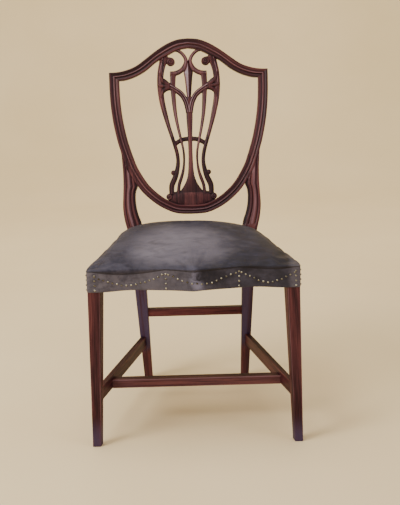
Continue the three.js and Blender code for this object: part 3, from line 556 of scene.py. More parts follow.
# camera, floor and light

cameraSpot = {
    "place": (0.0078, -2.3684, 0.950),
    "down": 8.1,  # degrees below level
    "roll": 1.59,  # the drawing is turned on its sheet by this
    "lens": 64.66,
    "sensor": 36,
    "shift": (0.01178, -0.140),
}


def makeCamera(spot):
    data = bpy.data.cameras.new("camera")
    data.lens = spot["lens"]
    data.sensor_width = spot["sensor"]
    data.shift_x, data.shift_y = spot["shift"]
    down, roll = math.radians(spot["down"]), math.radians(spot["roll"])
    c, s = math.cos(roll), math.sin(roll)
    across = Vector((c, -s * math.sin(down), -s * math.cos(down)))
    up = Vector((s, c * math.sin(down), c * math.cos(down)))
    back = Vector((0, -math.cos(down), math.sin(down)))
    turned = Matrix((across, up, back)).transposed().to_4x4()
    camera = addObject("camera", data)
    camera.matrix_world = Matrix.Translation(spot["place"]) @ turned
    bpy.context.scene.camera = camera


studio = {
    "floorHalf": 7.0,
    "wallDistance": 5.6,  # behind the chair
    "wallHeight": 5.5,
    "sweep": 2.4,  # radius of the curve from floor to wall
    "sweepSteps": 16,
    "sky": (0.80, 0.735, 0.615),
    "skyStrength": 0.84,
}
# place, what it is aimed at, width, power and colour
lamps = {
    "key": ((-2.6, -1.9, 2.2), (0, 0, 0.5), 1.6, 84.0, (1.0, 0.975, 0.95)),
    "fill": ((3.0, -2.4, 1.3), (0, 0, 0.5), 1.4, 26.0, (0.74, 0.70, 1.0)),
    "top": ((-0.5, -0.3, 3.0), (0, 0, 0.5), 2.2, 40.0, (1.0, 0.97, 0.93)),
    "wall": ((0.0, 1.9, 3.4), (0.0, 5.2, 1.0), 2.6, 78.0, (1.0, 0.94, 0.80)),
}


def makeSweep(look):  # floor and wall in one bent sheet
    radius, far, half = look["sweep"], look["wallDistance"], look["floorHalf"]
    profile = [(-half, 0.0), (far - radius, 0.0)]
    for step in range(look["sweepSteps"]):
        turn = math.pi / 2 * (step + 1) / look["sweepSteps"]
        profile.append((far - radius + radius * math.sin(turn), radius * (1 - math.cos(turn))))
    profile.append((far, look["wallHeight"]))
    points = [(x, y, z) for y, z in profile for x in (-half, half)]
    faces = [[2 * i, 2 * i + 1, 2 * i + 3, 2 * i + 2] for i in range(len(profile) - 1)]
    mesh = bpy.data.meshes.new("paperSweep")
    mesh.from_pydata(points, [], faces)
    mesh.shade_smooth()
    mesh.materials.append(makePaper())
    sweep = addObject("paperSweep", mesh)


def makeLamp(name, place, aim, width, power, colour):
    data = bpy.data.lights.new(name, "AREA")
    data.shape = "DISK"
    data.size = width
    data.energy = power
    data.color = colour
    lamp = addObject(name, data)
    lamp.visible_camera = False
    turned = (Vector(aim) - Vector(place)).to_track_quat("-Z", "Y").to_matrix().to_4x4()
    lamp.matrix_world = Matrix.Translation(place) @ turned


def makeSky(look):
    world = bpy.data.worlds.new("room")
    world.use_nodes = True
    sky = world.node_tree.nodes["Background"]
    sky.inputs["Color"].default_value = (*look["sky"], 1)
    sky.inputs["Strength"].default_value = look["skyStrength"]
    bpy.context.scene.world = world


makeCamera(cameraSpot)
makeSweep(studio)
for lampName, lamp in lamps.items():
    makeLamp(lampName, *lamp)
makeSky(studio)
print("camera and studio set")


# legs and stretchers

seatFrame = {
    "frontHalf": 255,  # centre line to the front legs' outer faces
    "rearHalf": 177,
    "postFaceY": 413,
    "railBottom": 391,
    "railTop": 433,
    "legTop": 31,
    "legFoot": 20,
    "legSplay": 3,
    "backFaceY": 446,
    "bowOut": 15,
    "bowIn": 15,
}
sideSlope = (seatFrame["frontHalf"] - seatFrame["rearHalf"]) / seatFrame["postFaceY"]
bowHalf = seatFrame["frontHalf"] - seatFrame["legTop"]


def sideX(y):
    return seatFrame["frontHalf"] - sideSlope * np.asarray(y, float)


def bowAt(x):  # serpentine front: a soft point in the middle, a hollow on each side
    along = np.minimum(np.abs(np.asarray(x, float)) / bowHalf, 1)
    hollow = seatFrame["bowIn"] * np.sin(np.pi * along**1.6) ** 2
    point = seatFrame["bowOut"] * np.clip(1 - along / 0.28, 0, 1) ** 1.5
    return hollow - point


barSteps = 4  # in each rounded arris
barFlats = (0.07, 0.25, 0.5, 0.75, 0.93)  # places of the points along each flat side


def barRing(radius, width, depth):  # section of a four-sided bar, its x and y from 0 to its width and depth
    corners = [
        (width - radius, radius, -90), (width - radius, depth - radius, 0), (radius, depth - radius, 90),
        (radius, radius, 180),
    ]
    ring = []
    for (x, y, start), (nextX, nextY, _) in zip(corners, corners[1:] + corners[:1]):
        for step in range(barSteps + 1):
            turn = math.radians(start + 90 * step / barSteps)
            ring.append((x + radius * math.cos(turn), y + radius * math.sin(turn)))
        endX, endY = ring[-1]
        ring += [(endX + (nextX - x) * t, endY + (nextY - y) * t) for t in barFlats]
    return np.array(ring)


def edgeHollow(ring, width, depth):  # less along the arrises, where the polish wears and a painted highlight runs, more on the flats
    gapX = np.minimum(ring[:, 0], width - ring[:, 0])
    gapY = np.minimum(ring[:, 1], depth - ring[:, 1])
    return -0.08 + 0.24 * smoothStep(0, 2.4, np.maximum(gapX, gapY))


frontLeg = {
    "arris": 1.7,
    "footChamfer": 1.2,
    "stations": [0, 1.2, 40, 90, 140, 200, 260, 320, 391, 433],
    # lifts the whole leg towards the worn colour and its painted highlight
    "wornHighlight": -0.09,
    "shade": 0.30,  # painted shade on the side away from the light
    "footStain": 0.12,
    "footReach": 120,  # height where that stain ends
    "grainShift": (40, 700),  # across and along, so that no two legs look alike
}


def makeFrontLeg(look, side):
    rows = []
    acrossShift, alongShift = (side * shift for shift in look["grainShift"])
    for z in look["stations"]:
        up = min(z / seatFrame["railBottom"], 1)
        size = mix(seatFrame["legFoot"], seatFrame["legTop"], up)
        outer = seatFrame["frontHalf"] + mix(seatFrame["legSplay"], 0, up)
        pull = look["footChamfer"] if z == 0 else 0
        ring = barRing(look["arris"], size - 2 * pull, size - 2 * pull) + pull
        x, y = ring.T
        points = np.column_stack([outer - size + x - sideSlope * y, y, np.full(len(ring), z)])
        grain = np.column_stack([x + acrossShift, y, np.full(len(ring), z + alongShift)])
        # painted shade on the side away from the light
        shade = look["shade"] * smoothStep(1.0, 0.2, x)
        foot = look["footStain"] * smoothStep(look["footReach"], 0, z)
        rows.append((points, grain, edgeHollow(ring, size, size) + shade + look["wornHighlight"] + foot))
    hand = "Right" if side > 0 else "Left"
    makeWood("frontLeg" + hand, rows, dullMahogany, "front_leg_" + hand.lower(), side < 0)


for side in (1, -1):
    makeFrontLeg(frontLeg, side)

stretchers = {
    "arris": 1.5,
    "topDarkening": 0.3,  # how much darker their upper faces are
    "stations": 14,
    "lowBottom": 104,
    "sideHeight": 33,
    "sideThickness": 14,
    "sideInset": 8.5,
    "sideStain": 0.14,
    "sideGrain": {1: 81, -1: 19},  # shift of the grain on the right and on the left
    "medialY": 118,
    "medialDepth": 26,
    "medialHeight": 22,
    "medialStain": -0.12,
    "medialGrain": 140,
    "medialLap": 2,
    "rearBottom": 197,
    "rearHeight": 22,
    "rearDepth": 22,
    "rearSetback": 4.5,
    "rearStain": 0.16,
    "rearGrain": 190,
    "endLap": 5,  # how far each end runs into its leg
}


# bar from one end to the other, both at its bottom; its section's x is level and its y is up
def makeBar(name, node, start, end, width, height, grainShift, stain):
    look = stretchers
    start, end = np.asarray(start, float), np.asarray(end, float)
    length = np.linalg.norm(end - start)
    run = (end - start) / length
    level = np.array([run[1], -run[0], 0.0])
    ring = barRing(look["arris"], width, height)
    x, y = ring.T
    onTop = smoothStep(height - 0.3, height, y) * smoothStep(0, 3, width / 2 - abs(x - width / 2))
    hollow = edgeHollow(ring, width, height) + look["topDarkening"] * onTop + stain
    rows = []
    for along in np.linspace(0, length, look["stations"]):
        points = start + run * along + np.outer(x - width / 2, level) + np.outer(y, [0, 0, 1])
        grain = np.column_stack([ring + grainShift, np.full(len(ring), along + 13 * grainShift)])
        rows.append((points, grain, hollow))
    makeWood(name, rows, dullMahogany, node)


def makeStretchers(look):
    lap, low = look["endLap"], look["lowBottom"]
    middle = low + look["sideHeight"] / 2
    up = middle / seatFrame["railBottom"]
    legBack = mix(seatFrame["legFoot"], seatFrame["legTop"], up)
    frontX = float(sideX(legBack)) + mix(seatFrame["legSplay"], 0, up) - look["sideInset"]
    rearX = postOuterAt(middle) - look["sideInset"]
    postFront = postFaceAt(middle)[0]
    slope = (frontX - rearX) / (postFront - legBack)
    for side, hand in ((1, "Right"), (-1, "Left")):
        start = (side * (frontX + slope * lap), legBack - lap, low)
        end = (side * (rearX - slope * lap), postFront + lap, low)
        makeBar(
            "sideStretcher" + hand, "side_stretcher_" + hand.lower(), start, end,
            look["sideThickness"], look["sideHeight"], look["sideGrain"][side], look["sideStain"],
        )
    medialY = look["medialY"] + look["medialDepth"] / 2
    half = frontX - slope * (medialY - legBack) - look["sideThickness"] / 2 + look["medialLap"]
    makeBar(
        "medialStretcher", "medial_stretcher", (-half, medialY, low), (half, medialY, low),
        look["medialDepth"], look["medialHeight"], look["medialGrain"], look["medialStain"],
    )
    rearLow = look["rearBottom"]
    rearMiddle = rearLow + look["rearHeight"] / 2
    rearY = postFaceAt(rearMiddle)[0] + look["rearSetback"] + look["rearDepth"] / 2
    half = postInnerAt(rearMiddle) + lap
    makeBar(
        "rearStretcher", "rear_stretcher", (-half, rearY, rearLow), (half, rearY, rearLow),
        look["rearDepth"], look["rearHeight"], look["rearGrain"], look["rearStain"],
    )


# the shield back

# Outlines from the centre line out, as in the solids: [share of half width, share of height]
back = {
    "rake": math.radians(10.2),
    "foot": 497.5,  # height of the shield's lowest point
    "halfWidth": 227,
    "height": 409.5,
    "crestRise": 93,
    "bottomWidth": 25.3,
    "sideWidth": 28,
    "cornerDrop": 24,
    "stileHalf": 195.8,
    "stileInnerHalf": 160.4,
    "crotch": 577,  # height where the stile and the shield part
    "blendShare": 0.435,
    "railSeatShare": 0.39,
    "railSeatStep": 5,
    "hairline": 0.08,  # left at the posts' joints
    "outer": [
        [0, 0], [0.194, 0.008], [0.373, 0.05], [0.524, 0.111], [0.65, 0.185], [0.772, 0.295], [0.837, 0.383],
        [0.868, 0.435], [0.91, 0.515], [0.953, 0.627], [0.981, 0.738], [0.995, 0.85], [1, 1],
    ],
    "crestTop": [
        [0, 1], [0.13, 0.967], [0.26, 0.848], [0.4, 0.641], [0.53, 0.404], [0.66, 0.181], [0.79, 0.058],
        [0.9, 0.008], [1, 0],
    ],
    "crestUnder": [
        [0, 0.705], [0.13, 0.643], [0.26, 0.49], [0.4, 0.298], [0.53, 0.045], [0.66, -0.133], [0.79, -0.238],
    ],
    "stileOuter": [
        [0.1, 0], [0.4, 0.16], [0.76, 0.34], [0.97, 0.53], [1, 0.68], [0.93, 0.85], [0.86, 1.08],
        [0.88, 1.33],
    ],
    "stileInner": [
        [0, 0], [0.08, 0.15], [0.29, 0.31], [0.6, 0.43], [0.86, 0.57], [0.985, 0.71], [1, 0.81],
        [0.91, 0.917], [0.66, 1],
    ],
}
post = {
    "heelSetback": 41,
    "heelCurve": 1.15,
    "footHalf": 152.5,
    "footWidth": 22.5,
    "seatWidth": 37,
    "footDepth": 25,
    "seatDepth": 36,
    "topDepth": 23,
    "kneeHeight": 430,
    "kneeBlend": 30,
    "mouldingFoot": 459,  # height where the stile's reeds stop above the seat
    "mouldingRun": 9,
    "arris": 2.0,
    "backRound": 4.0,
    "backRoundRun": (440, 520),  # heights between which that rounding comes in
    "plainStain": 0.12,
    "footStain": 0.14,
    "footReach": 150,  # height where that stain ends
    "grainWidth": 34,
    "grainShift": (90, 300),  # across and along
    "acrossSteps": 58,
    "rows": [(0, 391, 16), (398, 462, 8), (466, 484, 10), (490, 560, 15)],  # from, to, how many
    "jointFoot": 565,  # rows beside the lower rail's end begin here
    "jointRows": 22,
    "jointGaps": (0.4, 5),  # from the joint's top to the rows below and above it
    "shieldRows": 38,
    "fanReach": 52,  # where the rows begin to turn towards the mitre, down from the corner
    "fanRows": 12,
}
cosRake, sinRake, tanRake = math.cos(back["rake"]), math.sin(back["rake"]), math.tan(back["rake"])
shieldFootY = seatFrame["postFaceY"] + (back["foot"] - post["kneeHeight"]) * tanRake
cornerHeight = back["foot"] + back["height"] * cosRake
rearInnerX = seatFrame["rearHalf"] - post["seatWidth"]


def onBack(x, up, behind):  # a point of the raked back: across, up the back, and back from its front face
    y = shieldFootY + up * sinRake + behind * cosRake
    z = back["foot"] + up * cosRake - behind * sinRake
    return np.stack(np.broadcast_arrays(x, y, z), -1)


def upOf(height):
    return (np.asarray(height, float) - back["foot"]) / cosRake


def heightOf(up):
    return back["foot"] + np.asarray(up, float) * cosRake


def shieldPoints(shares):
    return [[x * back["halfWidth"], up * back["height"]] for x, up in shares]


def crestPoints(shares):
    return [[x * back["halfWidth"], back["height"] + up * back["crestRise"]] for x, up in shares]


shieldOuter = curve(shieldPoints(back["outer"]), 240)
alongShield = np.linspace(0, 1, len(shieldOuter))
bandWidths = mix(back["bottomWidth"], back["sideWidth"], np.minimum(2 * alongShield, 1))
shieldInner = offsetLine(shieldOuter, bandWidths)
shieldInner[0, 0] = 0
shieldInner[-1, 0] = back["halfWidth"] - back["sideWidth"]
innerCorner = [back["halfWidth"] - back["sideWidth"], back["height"] - back["cornerDrop"]]
crestTop = curve(crestPoints(back["crestTop"]), 160)
crestUnder = curve(crestPoints(back["crestUnder"]) + [innerCorner], 140)


def stileLine(shares, low, high):
    heights = seatFrame["railTop"], back["crotch"]
    return curve([[mix(low, high, out), mix(*heights, up)] for out, up in shares], 96)


stileOuter = stileLine(back["stileOuter"], seatFrame["rearHalf"], back["stileHalf"])
stileInner = stileLine(back["stileInner"], rearInnerX, back["stileInnerHalf"])
railSeatTop = back["railSeatShare"] * back["height"]
railSeatX = np.interp(railSeatTop, shieldInner[:, 1], shieldInner[:, 0]) + back["railSeatStep"]
crotchUp = float(upOf(back["crotch"]))
blendTop = float(heightOf(back["blendShare"] * back["height"]))


def acrossAt(line, up):
    return np.interp(up, line[:, 1], line[:, 0])


def jointX(up):  # where the post meets the end of the lower rail
    return mix(stileInner[-1, 0], railSeatX, (np.asarray(up, float) - crotchUp) / (railSeatTop - crotchUp))


def postFaceAt(height):  # y of the post's front face, and how far it leans
    start = post["kneeHeight"] - post["kneeBlend"]
    if height < seatFrame["railBottom"]:
        share = (1 - height / seatFrame["railBottom"]) ** post["heelCurve"]
        return seatFrame["postFaceY"] + post["heelSetback"] * share, 0.0
    if height < start:
        return seatFrame["postFaceY"], 0.0
    if height < post["kneeHeight"] + post["kneeBlend"]:
        along = height - start
        bend = tanRake * along**2 / (4 * post["kneeBlend"])
        return seatFrame["postFaceY"] + bend, math.atan(tanRake * along / (2 * post["kneeBlend"]))
    return seatFrame["postFaceY"] + (height - post["kneeHeight"]) * tanRake, back["rake"]


def postDepthAt(height):
    if height < seatFrame["railBottom"]:
        return mix(post["footDepth"], post["seatDepth"], height / seatFrame["railBottom"])
    up = max(height - seatFrame["railTop"], 0) / (cornerHeight - seatFrame["railTop"])
    return mix(post["seatDepth"], post["topDepth"], up)


def postOuterAt(height):
    low, high = seatFrame["railBottom"], seatFrame["railTop"]
    top = stileOuter[-1, 1]
    if height < low:
        return mix(post["footHalf"], seatFrame["rearHalf"], height / low)
    if height < high:
        return mix(seatFrame["rearHalf"], stileOuter[0, 0], (height - low) / (high - low))
    if height < top:
        return float(acrossAt(stileOuter, height))
    if height < blendTop:
        along = (height - top) / (blendTop - top)
        return mix(stileOuter[-1, 0], float(acrossAt(shieldOuter, upOf(blendTop))), along)
    return float(acrossAt(shieldOuter, upOf(height)))


def postInnerAt(height):
    if height < seatFrame["railBottom"]:
        return mix(post["footHalf"] - post["footWidth"], rearInnerX, height / seatFrame["railBottom"])
    if height < seatFrame["railTop"]:
        return rearInnerX
    if height < back["crotch"]:
        return float(acrossAt(stileInner, height))
    up = float(upOf(height))
    return float(jointX(up)) if up < railSeatTop - 0.01 else float(acrossAt(shieldInner, up))


# Depth of the run mouldings below the front face. The band's is read across its width from the inner
# edge, the stile's in millimetres in from its outer edge.
mouldings = {
    "band": [
        (0, 3.4), (0.04, 1.5), (0.10, 1.0), (0.20, 1.5), (0.31, 2.9), (0.36, 3.1), (0.41, 2.3), (0.45, 0.8),
        (0.50, 0.0), (0.56, 0.7), (0.60, 2.3), (0.645, 3.1), (0.70, 2.7), (0.80, 1.4), (0.89, 0.9),
        (0.95, 1.3), (1, 3.4),
    ],
    "stile": [
        (0, 3.6), (1.6, 1.4), (4, 0.9), (6.5, 1.5), (8.3, 3.2), (9.6, 3.0), (11.5, 1.0), (14, 0.2), (17, 0.0),
        (20, 0.3), (22.5, 1.2), (24.3, 3.2), (25.6, 3.0), (27.0, 1.0), (29.0, 0.3), (31, 0.9), (32.8, 2.6),
        (35, 4.2), (37.2, 4.8), (39, 6.2),
    ],
    "stileWidth": 39,
    "edgeBlend": 1.6,  # how quickly the stile's moulding dies into the shield's edge
    "crotchBlend": (12, 2),  # it turns into the band's between these depths below the crotch
    "deepest": 3.2,
}


def profileDepth(profile, place):
    table = curve(profile, 12 * len(profile))
    return np.interp(place, table[:, 0], table[:, 1])


def acrossCentre(line, most=29):  # run on past the centre, so that the moulding is even there
    line = stretched(line)[1:]
    return np.vstack([mirrored(line[1 : most + 1]), line])


bandEdges = acrossCentre(shieldInner), acrossCentre(shieldOuter)


def bandDepth(x, up, inner, outer):
    points = np.column_stack([np.abs(x), up])
    fromInner = nearestOn(inner, points)[0]
    fromOuter = nearestOn(outer, points)[0]
    share = fromInner / (fromInner + fromOuter + 1e-9)
    return profileDepth(mouldings["band"], share)


def postRelief(x, height):  # for one level row from the post's inner edge to its outer one
    fromOuter = x[-1] - x
    plain = roundedEdge(np.minimum(x - x[0], fromOuter), post["arris"])
    if height < post["mouldingFoot"]:
        return plain
    stile = profileDepth(mouldings["stile"], fromOuter / (x[-1] - x[0]) * mouldings["stileWidth"])
    rise = smoothStep(post["mouldingFoot"], post["mouldingFoot"] + post["mouldingRun"], height)
    stile = mix(np.maximum(plain, 1.2 * rise), stile, rise)
    blendFrom, blendTo = (back["crotch"] - depth for depth in mouldings["crotchBlend"])
    if height < blendFrom:
        return stile
    up = np.full(len(x), upOf(height))
    beyond = -nearestOn(bandEdges[1], np.column_stack([x, up]))[2]  # past the shield's outer edge
    outside = mix(profileDepth(mouldings["band"], 1.0), stile, smoothStep(0, mouldings["edgeBlend"], beyond))
    moulded = np.where(beyond > 0, outside, bandDepth(x, up, *bandEdges))
    return mix(stile, moulded, smoothStep(blendFrom, blendTo, height))


# closed ring of (share across, step aside, depth): a front row of those depths and a plain rounded back
def bandRing(shares, depths, thickness, radius):
    ring = [(s, 0.0, d) for s, d in zip(shares, depths)]
    low = thickness - radius
    turns = np.radians([0, 30, 60, 90])
    corner = list(zip(radius * (1 - np.cos(turns)), low + radius * np.sin(turns)))
    ring += [(1.0, 0.0, mix(depths[-1], low, k / 3)) for k in (1, 2)]
    ring += [(1.0, -aside, behind) for aside, behind in corner]
    ring.append((0.5, 0.0, thickness))
    ring += [(0.0, aside, behind) for aside, behind in corner[::-1]]
    ring += [(0.0, 0.0, mix(depths[0], low, k / 3)) for k in (2, 1)]
    return np.array(ring)


def hollowOf(ring, depths):  # groove mask over a ring, with a painted highlight along the tops of its beads: its front row, then the plain sides and back
    values = np.full(len(ring), 0.22)
    front = 0.17 + 0.75 * np.clip(depths / mouldings["deepest"], 0, 1.1) ** 3
    values[: len(depths)] = front - 0.25 * np.exp(-((depths / 0.35) ** 2))
    return values


def postEdges(heights):  # x of the post's inner and outer edges
    return [np.array([edgeAt(height) for height in heights]) for edgeAt in (postInnerAt, postOuterAt)]


def postRow(levels, middle, side):  # levels are the row's heights, from the inner edge to the outer one
    shares = np.linspace(0, 1, len(levels))
    x = mix(*postEdges(levels), shares)
    level = np.ptp(levels) < 1e-6
    depths = postRelief(x, middle) if level else bandDepth(x, upOf(levels), *bandEdges)
    radius = mix(post["arris"], post["backRound"], smoothStep(*post["backRoundRun"], middle))
    ring = bandRing(shares, depths, postDepthAt(middle), radius)
    across, aside, behind = ring.T
    height = np.interp(across, shares, levels)
    face, lean = np.array([postFaceAt(h) for h in height]).T
    x = mix(*postEdges(height), across) + aside
    points = np.column_stack([x, face + behind * np.cos(lean), height - behind * np.sin(lean)])
    acrossShift, alongShift = (side * shift for shift in post["grainShift"])
    grainAcross = across * post["grainWidth"] + acrossShift
    grain = np.column_stack([grainAcross, behind, height + alongShift])
    plain = post["plainStain"] + post["footStain"] * smoothStep(post["footReach"], 0, middle)
    moulded = smoothStep(post["mouldingFoot"], post["mouldingFoot"] + 5, middle)
    return points, grain, mix(plain, hollowOf(ring, depths), moulded)


def makePost(look, side):
    across = np.linspace(0, 1, look["acrossSteps"] + 1)
    fanStart = float(heightOf(back["height"] - look["fanReach"]))
    railSeat = float(heightOf(railSeatTop))
    stations = [np.linspace(*rows) for rows in look["rows"]]
    below, above = look["jointGaps"]
    stations += [np.linspace(look["jointFoot"], railSeat - below, look["jointRows"]), [railSeat]]
    stations.append(np.linspace(railSeat + above, fanStart, look["shieldRows"]))
    rows = [postRow(np.full(len(across), height), height, side) for height in np.concatenate(stations)]
    mitre = mix(float(heightOf(innerCorner[1])), cornerHeight, across) - back["hairline"]
    for t in np.linspace(0, 1, look["fanRows"])[1:]:
        rows.append(postRow(mix(fanStart, mitre, t), mix(fanStart, cornerHeight, t), side))
    hand = "Right" if side > 0 else "Left"
    makeWood("rearPost" + hand, rows, mahogany, "rear_post_" + hand.lower(), side < 0)


for side in (1, -1):
    makePost(post, side)
makeStretchers(stretchers)
print("legs, posts and stretchers made")


crest = {
    "rows": 171,
    "steps": 56,  # across its band
    "thickness": 22,
    "backRound": 4.0,
    "grainWidth": 30,
    "grainShift": 210,
}
lowerRail = {
    "steps": 52,
    "thickness": 22,
    "backRound": 3.5,
    "grainWidth": 28,
    "grainShift": 330,
    "levelFrom": 8,  # its rows are level this far below its top
    "ownEdge": 60,  # and below this height up the shield they follow its outer edge
    "jointDrop": 12,  # the posts bound it from this far below the crotch
    "topGap": 0.2,
    "reach": 40,  # wider than it is anywhere
    "reachSteps": 1600,
}


# one row across a moulded band of the back, from its inner edge to its outer one
def bandRow(look, inner, outer, along, edges):
    shares = np.linspace(0, 1, look["steps"] + 1)
    depths = bandDepth(*mix(inner, outer, shares[:, None]).T, *edges)
    width = np.linalg.norm(outer - inner)
    ring = bandRing(shares, depths, look["thickness"], min(look["backRound"], 0.35 * width))
    across, aside, behind = ring.T
    flat = mix(inner, outer, across[:, None]) + (outer - inner) / width * aside[:, None]
    grainAcross = across * look["grainWidth"] + look["grainShift"]
    grain = np.column_stack([grainAcross, behind, np.full(len(ring), along)])
    return onBack(*flat.T, behind), grain, hollowOf(ring, depths)


def makeBand(look, name, node, inner, outer, edges):
    along = runningLength((inner + outer) / 2)
    rows = [bandRow(look, a, b, run, edges) for a, b, run in zip(inner, outer, along)]
    makeWood(name, rows, mahogany, node)


def makeCrest(look):
    places = np.linspace(-1, 1, look["rows"])
    underX, topX = places * innerCorner[0], places * back["halfWidth"]
    under = np.column_stack([underX, np.interp(np.abs(underX), *crestUnder.T)])
    top = np.column_stack([topX, np.interp(np.abs(topX), *crestTop.T)])
    edges = acrossCentre(crestUnder), acrossCentre(crestTop)
    makeBand(look, "crestRail", "crest_rail", under, top, edges)


def railOuter(look, point, across):  # point of the rail's outer edge that faces this one of its inner edge
    level = smoothStep(crotchUp, railSeatTop - look["levelFrom"], point[1])
    direction = mix(across / np.linalg.norm(across), np.array([1.0, 0.0]), level)
    direction /= np.linalg.norm(direction)
    ray = point + np.linspace(0, look["reach"], look["reachSteps"] + 1)[:, None] * direction
    limit = acrossAt(shieldOuter, ray[:, 1])
    joint = jointX(ray[:, 1]) - back["hairline"]
    limit = np.where(ray[:, 1] > crotchUp - look["jointDrop"], np.minimum(limit, joint), limit)
    outside = np.nonzero(ray[:, 0] > limit)[0]
    return ray[max(outside[0] - 1, 1)]


def makeLowerRail(look):
    top = railSeatTop - look["topGap"]
    kept = shieldInner[:, 1] < top
    inner = np.vstack([shieldInner[kept], [acrossAt(shieldInner, top), top]])
    across = np.vstack([shieldOuter[kept] - shieldInner[kept], [1.0, 0.0]])
    outer = shieldOuter[: len(inner)].copy()
    for k, point in enumerate(inner):
        if point[1] >= look["ownEdge"]:
            outer[k] = railOuter(look, point, across[k])
    inner = np.vstack([mirrored(inner[1:]), inner])
    outer = np.vstack([mirrored(outer[1:]), outer])
    makeBand(look, "shieldLowerRail", "shield_lower_rail", inner, outer, bandEdges)


makeCrest(crest)
makeLowerRail(lowerRail)
print("crest and lower rail made")


# splat, one pierced and carved board

# Strips are [share of half width, share of the shield's height, share of half width across the strip]
splat = {
    "halfWidth": 90.4,
    "front": 5,  # its face behind the shield's
    "thickness": 11,
    "cell": 0.85,  # spacing of the carved surface's points
    "reach": 96,  # they go this far from the centre line
    "heights": (18, 482),  # and from here up the shield to here
    "crossing": (0.06, 0.94),  # its cut edge crosses a cell's side within these shares of it
    "fillet": 2.2,  # where strips meet
    "lap": 3.5,  # how far it runs into the crest and the lower rail
    "backBand": 0.7,  # width of the last faces of its cut edges, beside its back
    "arm": [
        [0.625, 0.14, 0.15], [0.614, 0.2, 0.168], [0.51, 0.254, 0.168], [0.437, 0.306, 0.142],
        [0.398, 0.366, 0.117], [0.426, 0.428, 0.117], [0.518, 0.503, 0.115], [0.653, 0.602, 0.122],
        [0.769, 0.701, 0.155], [0.862, 0.8, 0.175], [0.898, 0.9, 0.194], [0.879, 0.986, 0.2],
        [0.82, 1.048, 0.215], [0.75, 1.115, 0.24],
    ],
    "rib": [
        [0.42, 0.14, 0.1], [0.382, 0.205, 0.1], [0.308, 0.254, 0.1], [0.243, 0.304, 0.081],
        [0.211, 0.36, 0.066], [0.208, 0.41, 0.069], [0.227, 0.453, 0.069], [0.271, 0.503, 0.073],
        [0.367, 0.602, 0.09], [0.443, 0.701, 0.113], [0.483, 0.8, 0.137], [0.502, 0.9, 0.163],
        [0.487, 0.98, 0.188],
    ],
    "scroll": [
        [0.5, 1.148, 0.08], [0.4, 1.148, 0.085], [0.295, 1.142, 0.09], [0.18, 1.122, 0.095],
        [0.09, 1.092, 0.105], [0.066, 1.06, 0.126], [0.15, 1.02, 0.144], [0.28, 0.996, 0.144],
        [0.43, 0.984, 0.15], [0.575, 0.982, 0.15],
    ],
    "branch": [
        [0.84, 0.9, 0.5], [0.74, 0.897, 0.4], [0.65, 0.893, 0.27], [0.55, 0.886, 0.19], [0.43, 0.87, 0.17],
        [0.3, 0.85, 0.165], [0.19, 0.823, 0.16], [0.09, 0.775, 0.16], [0.03, 0.71, 0.16],
    ],
    "stem": [
        [0, 0.815, 0.15], [0, 0.74, 0.195], [0, 0.68, 0.2], [0, 0.62, 0.175], [0, 0.55, 0.145],
        [0, 0.47, 0.13], [0, 0.4, 0.132], [0, 0.34, 0.15], [0, 0.3, 0.175], [0, 0.255, 0.24], [0, 0.21, 0.4],
        [0, 0.17, 0.64], [0, 0.13, 0.9],
    ],
    "band": [[0.5, 0.487, 0.13], [0.26, 0.518, 0.133], [0, 0.525, 0.133]],
    "neck": [[0.82, 1.06, 0.26], [0.72, 1.079, 0.19], [0.64, 1.084, 0.14], [0.56, 1.083, 0.12]],
    "fingers": [
        [[0.62, 0.902, 0.1], [0.75, 0.918, 0.11], [0.85, 0.945, 0.1], [0.905, 0.985, 0.05]],
        [[0.64, 0.893, 0.1], [0.78, 0.895, 0.115], [0.89, 0.898, 0.1], [0.955, 0.905, 0.05]],
        [[0.62, 0.884, 0.1], [0.74, 0.874, 0.11], [0.83, 0.853, 0.1], [0.872, 0.82, 0.05]],
    ],
    "dart": [
        [0, 1.068], [0.03, 1.05], [0.148, 0.99], [0.12, 0.95], [0.098, 0.9], [0.078, 0.845], [0.05, 0.79],
    ],
    "mound": [
        [0, 0.17], [0.3, 0.165], [0.55, 0.155], [0.66, 0.144], [0.77, 0.122], [0.7, 0.085], [0, 0.02],
    ],
    "volute": [0.552, 1.066, 12.0],  # middle, radius
    "voluteTurns": 2.1,
    # how dark each strip is along its length: [place, tone], 0 bare and 1 black
    "armTone": [[0, 0.62], [0.40, 0.55], [0.50, 0.05], [0.70, 0.0], [0.80, 0.30], [1, 0.30]],
    "ribTone": [[0, 0.50], [0.38, 0.35], [0.52, 0.0], [1, 0.0]],
    "stemTone": [[0, 0.30], [0.30, 0.15], [0.62, 0.15], [0.78, 0.50], [0.92, 0.62], [1, 0.50]],
    "dartMark": 9,  # stands for the dart's tone until its facets are told apart
    "dartLightAndShade": (-0.55, 0.50),  # painted light on its left facet and painted shade on its right
    "knob": [0.555, 0.289, 7.0],
    "ear": [0.70, 0.122, 9.0],
}


def groove(across, place, width, depth):
    return -depth * np.exp(-(((across - place) / width) ** 2))


# Sections: q is -1 to 1 across the strip, + to the left of its direction; t is 0 to 1 along it
def armSection(q, t):
    plain = groove(q, -0.50, 0.11, 1.3)
    leafy = groove(q, -0.56, 0.10, 1.5) + groove(q, -0.02, 0.09, 1.2) + groove(q, 0.50, 0.10, 1.4)
    return -2.5 * np.abs(q) ** 2.4 + mix(plain, leafy, smoothStep(0.70, 0.80, t))


def ribSection(q, t):
    return -2.3 * np.abs(q) ** 2.2


def scrollSection(q, t):
    return -2.3 * np.abs(q) ** 2.2 + groove(q, 0.45, 0.12, 0.5)


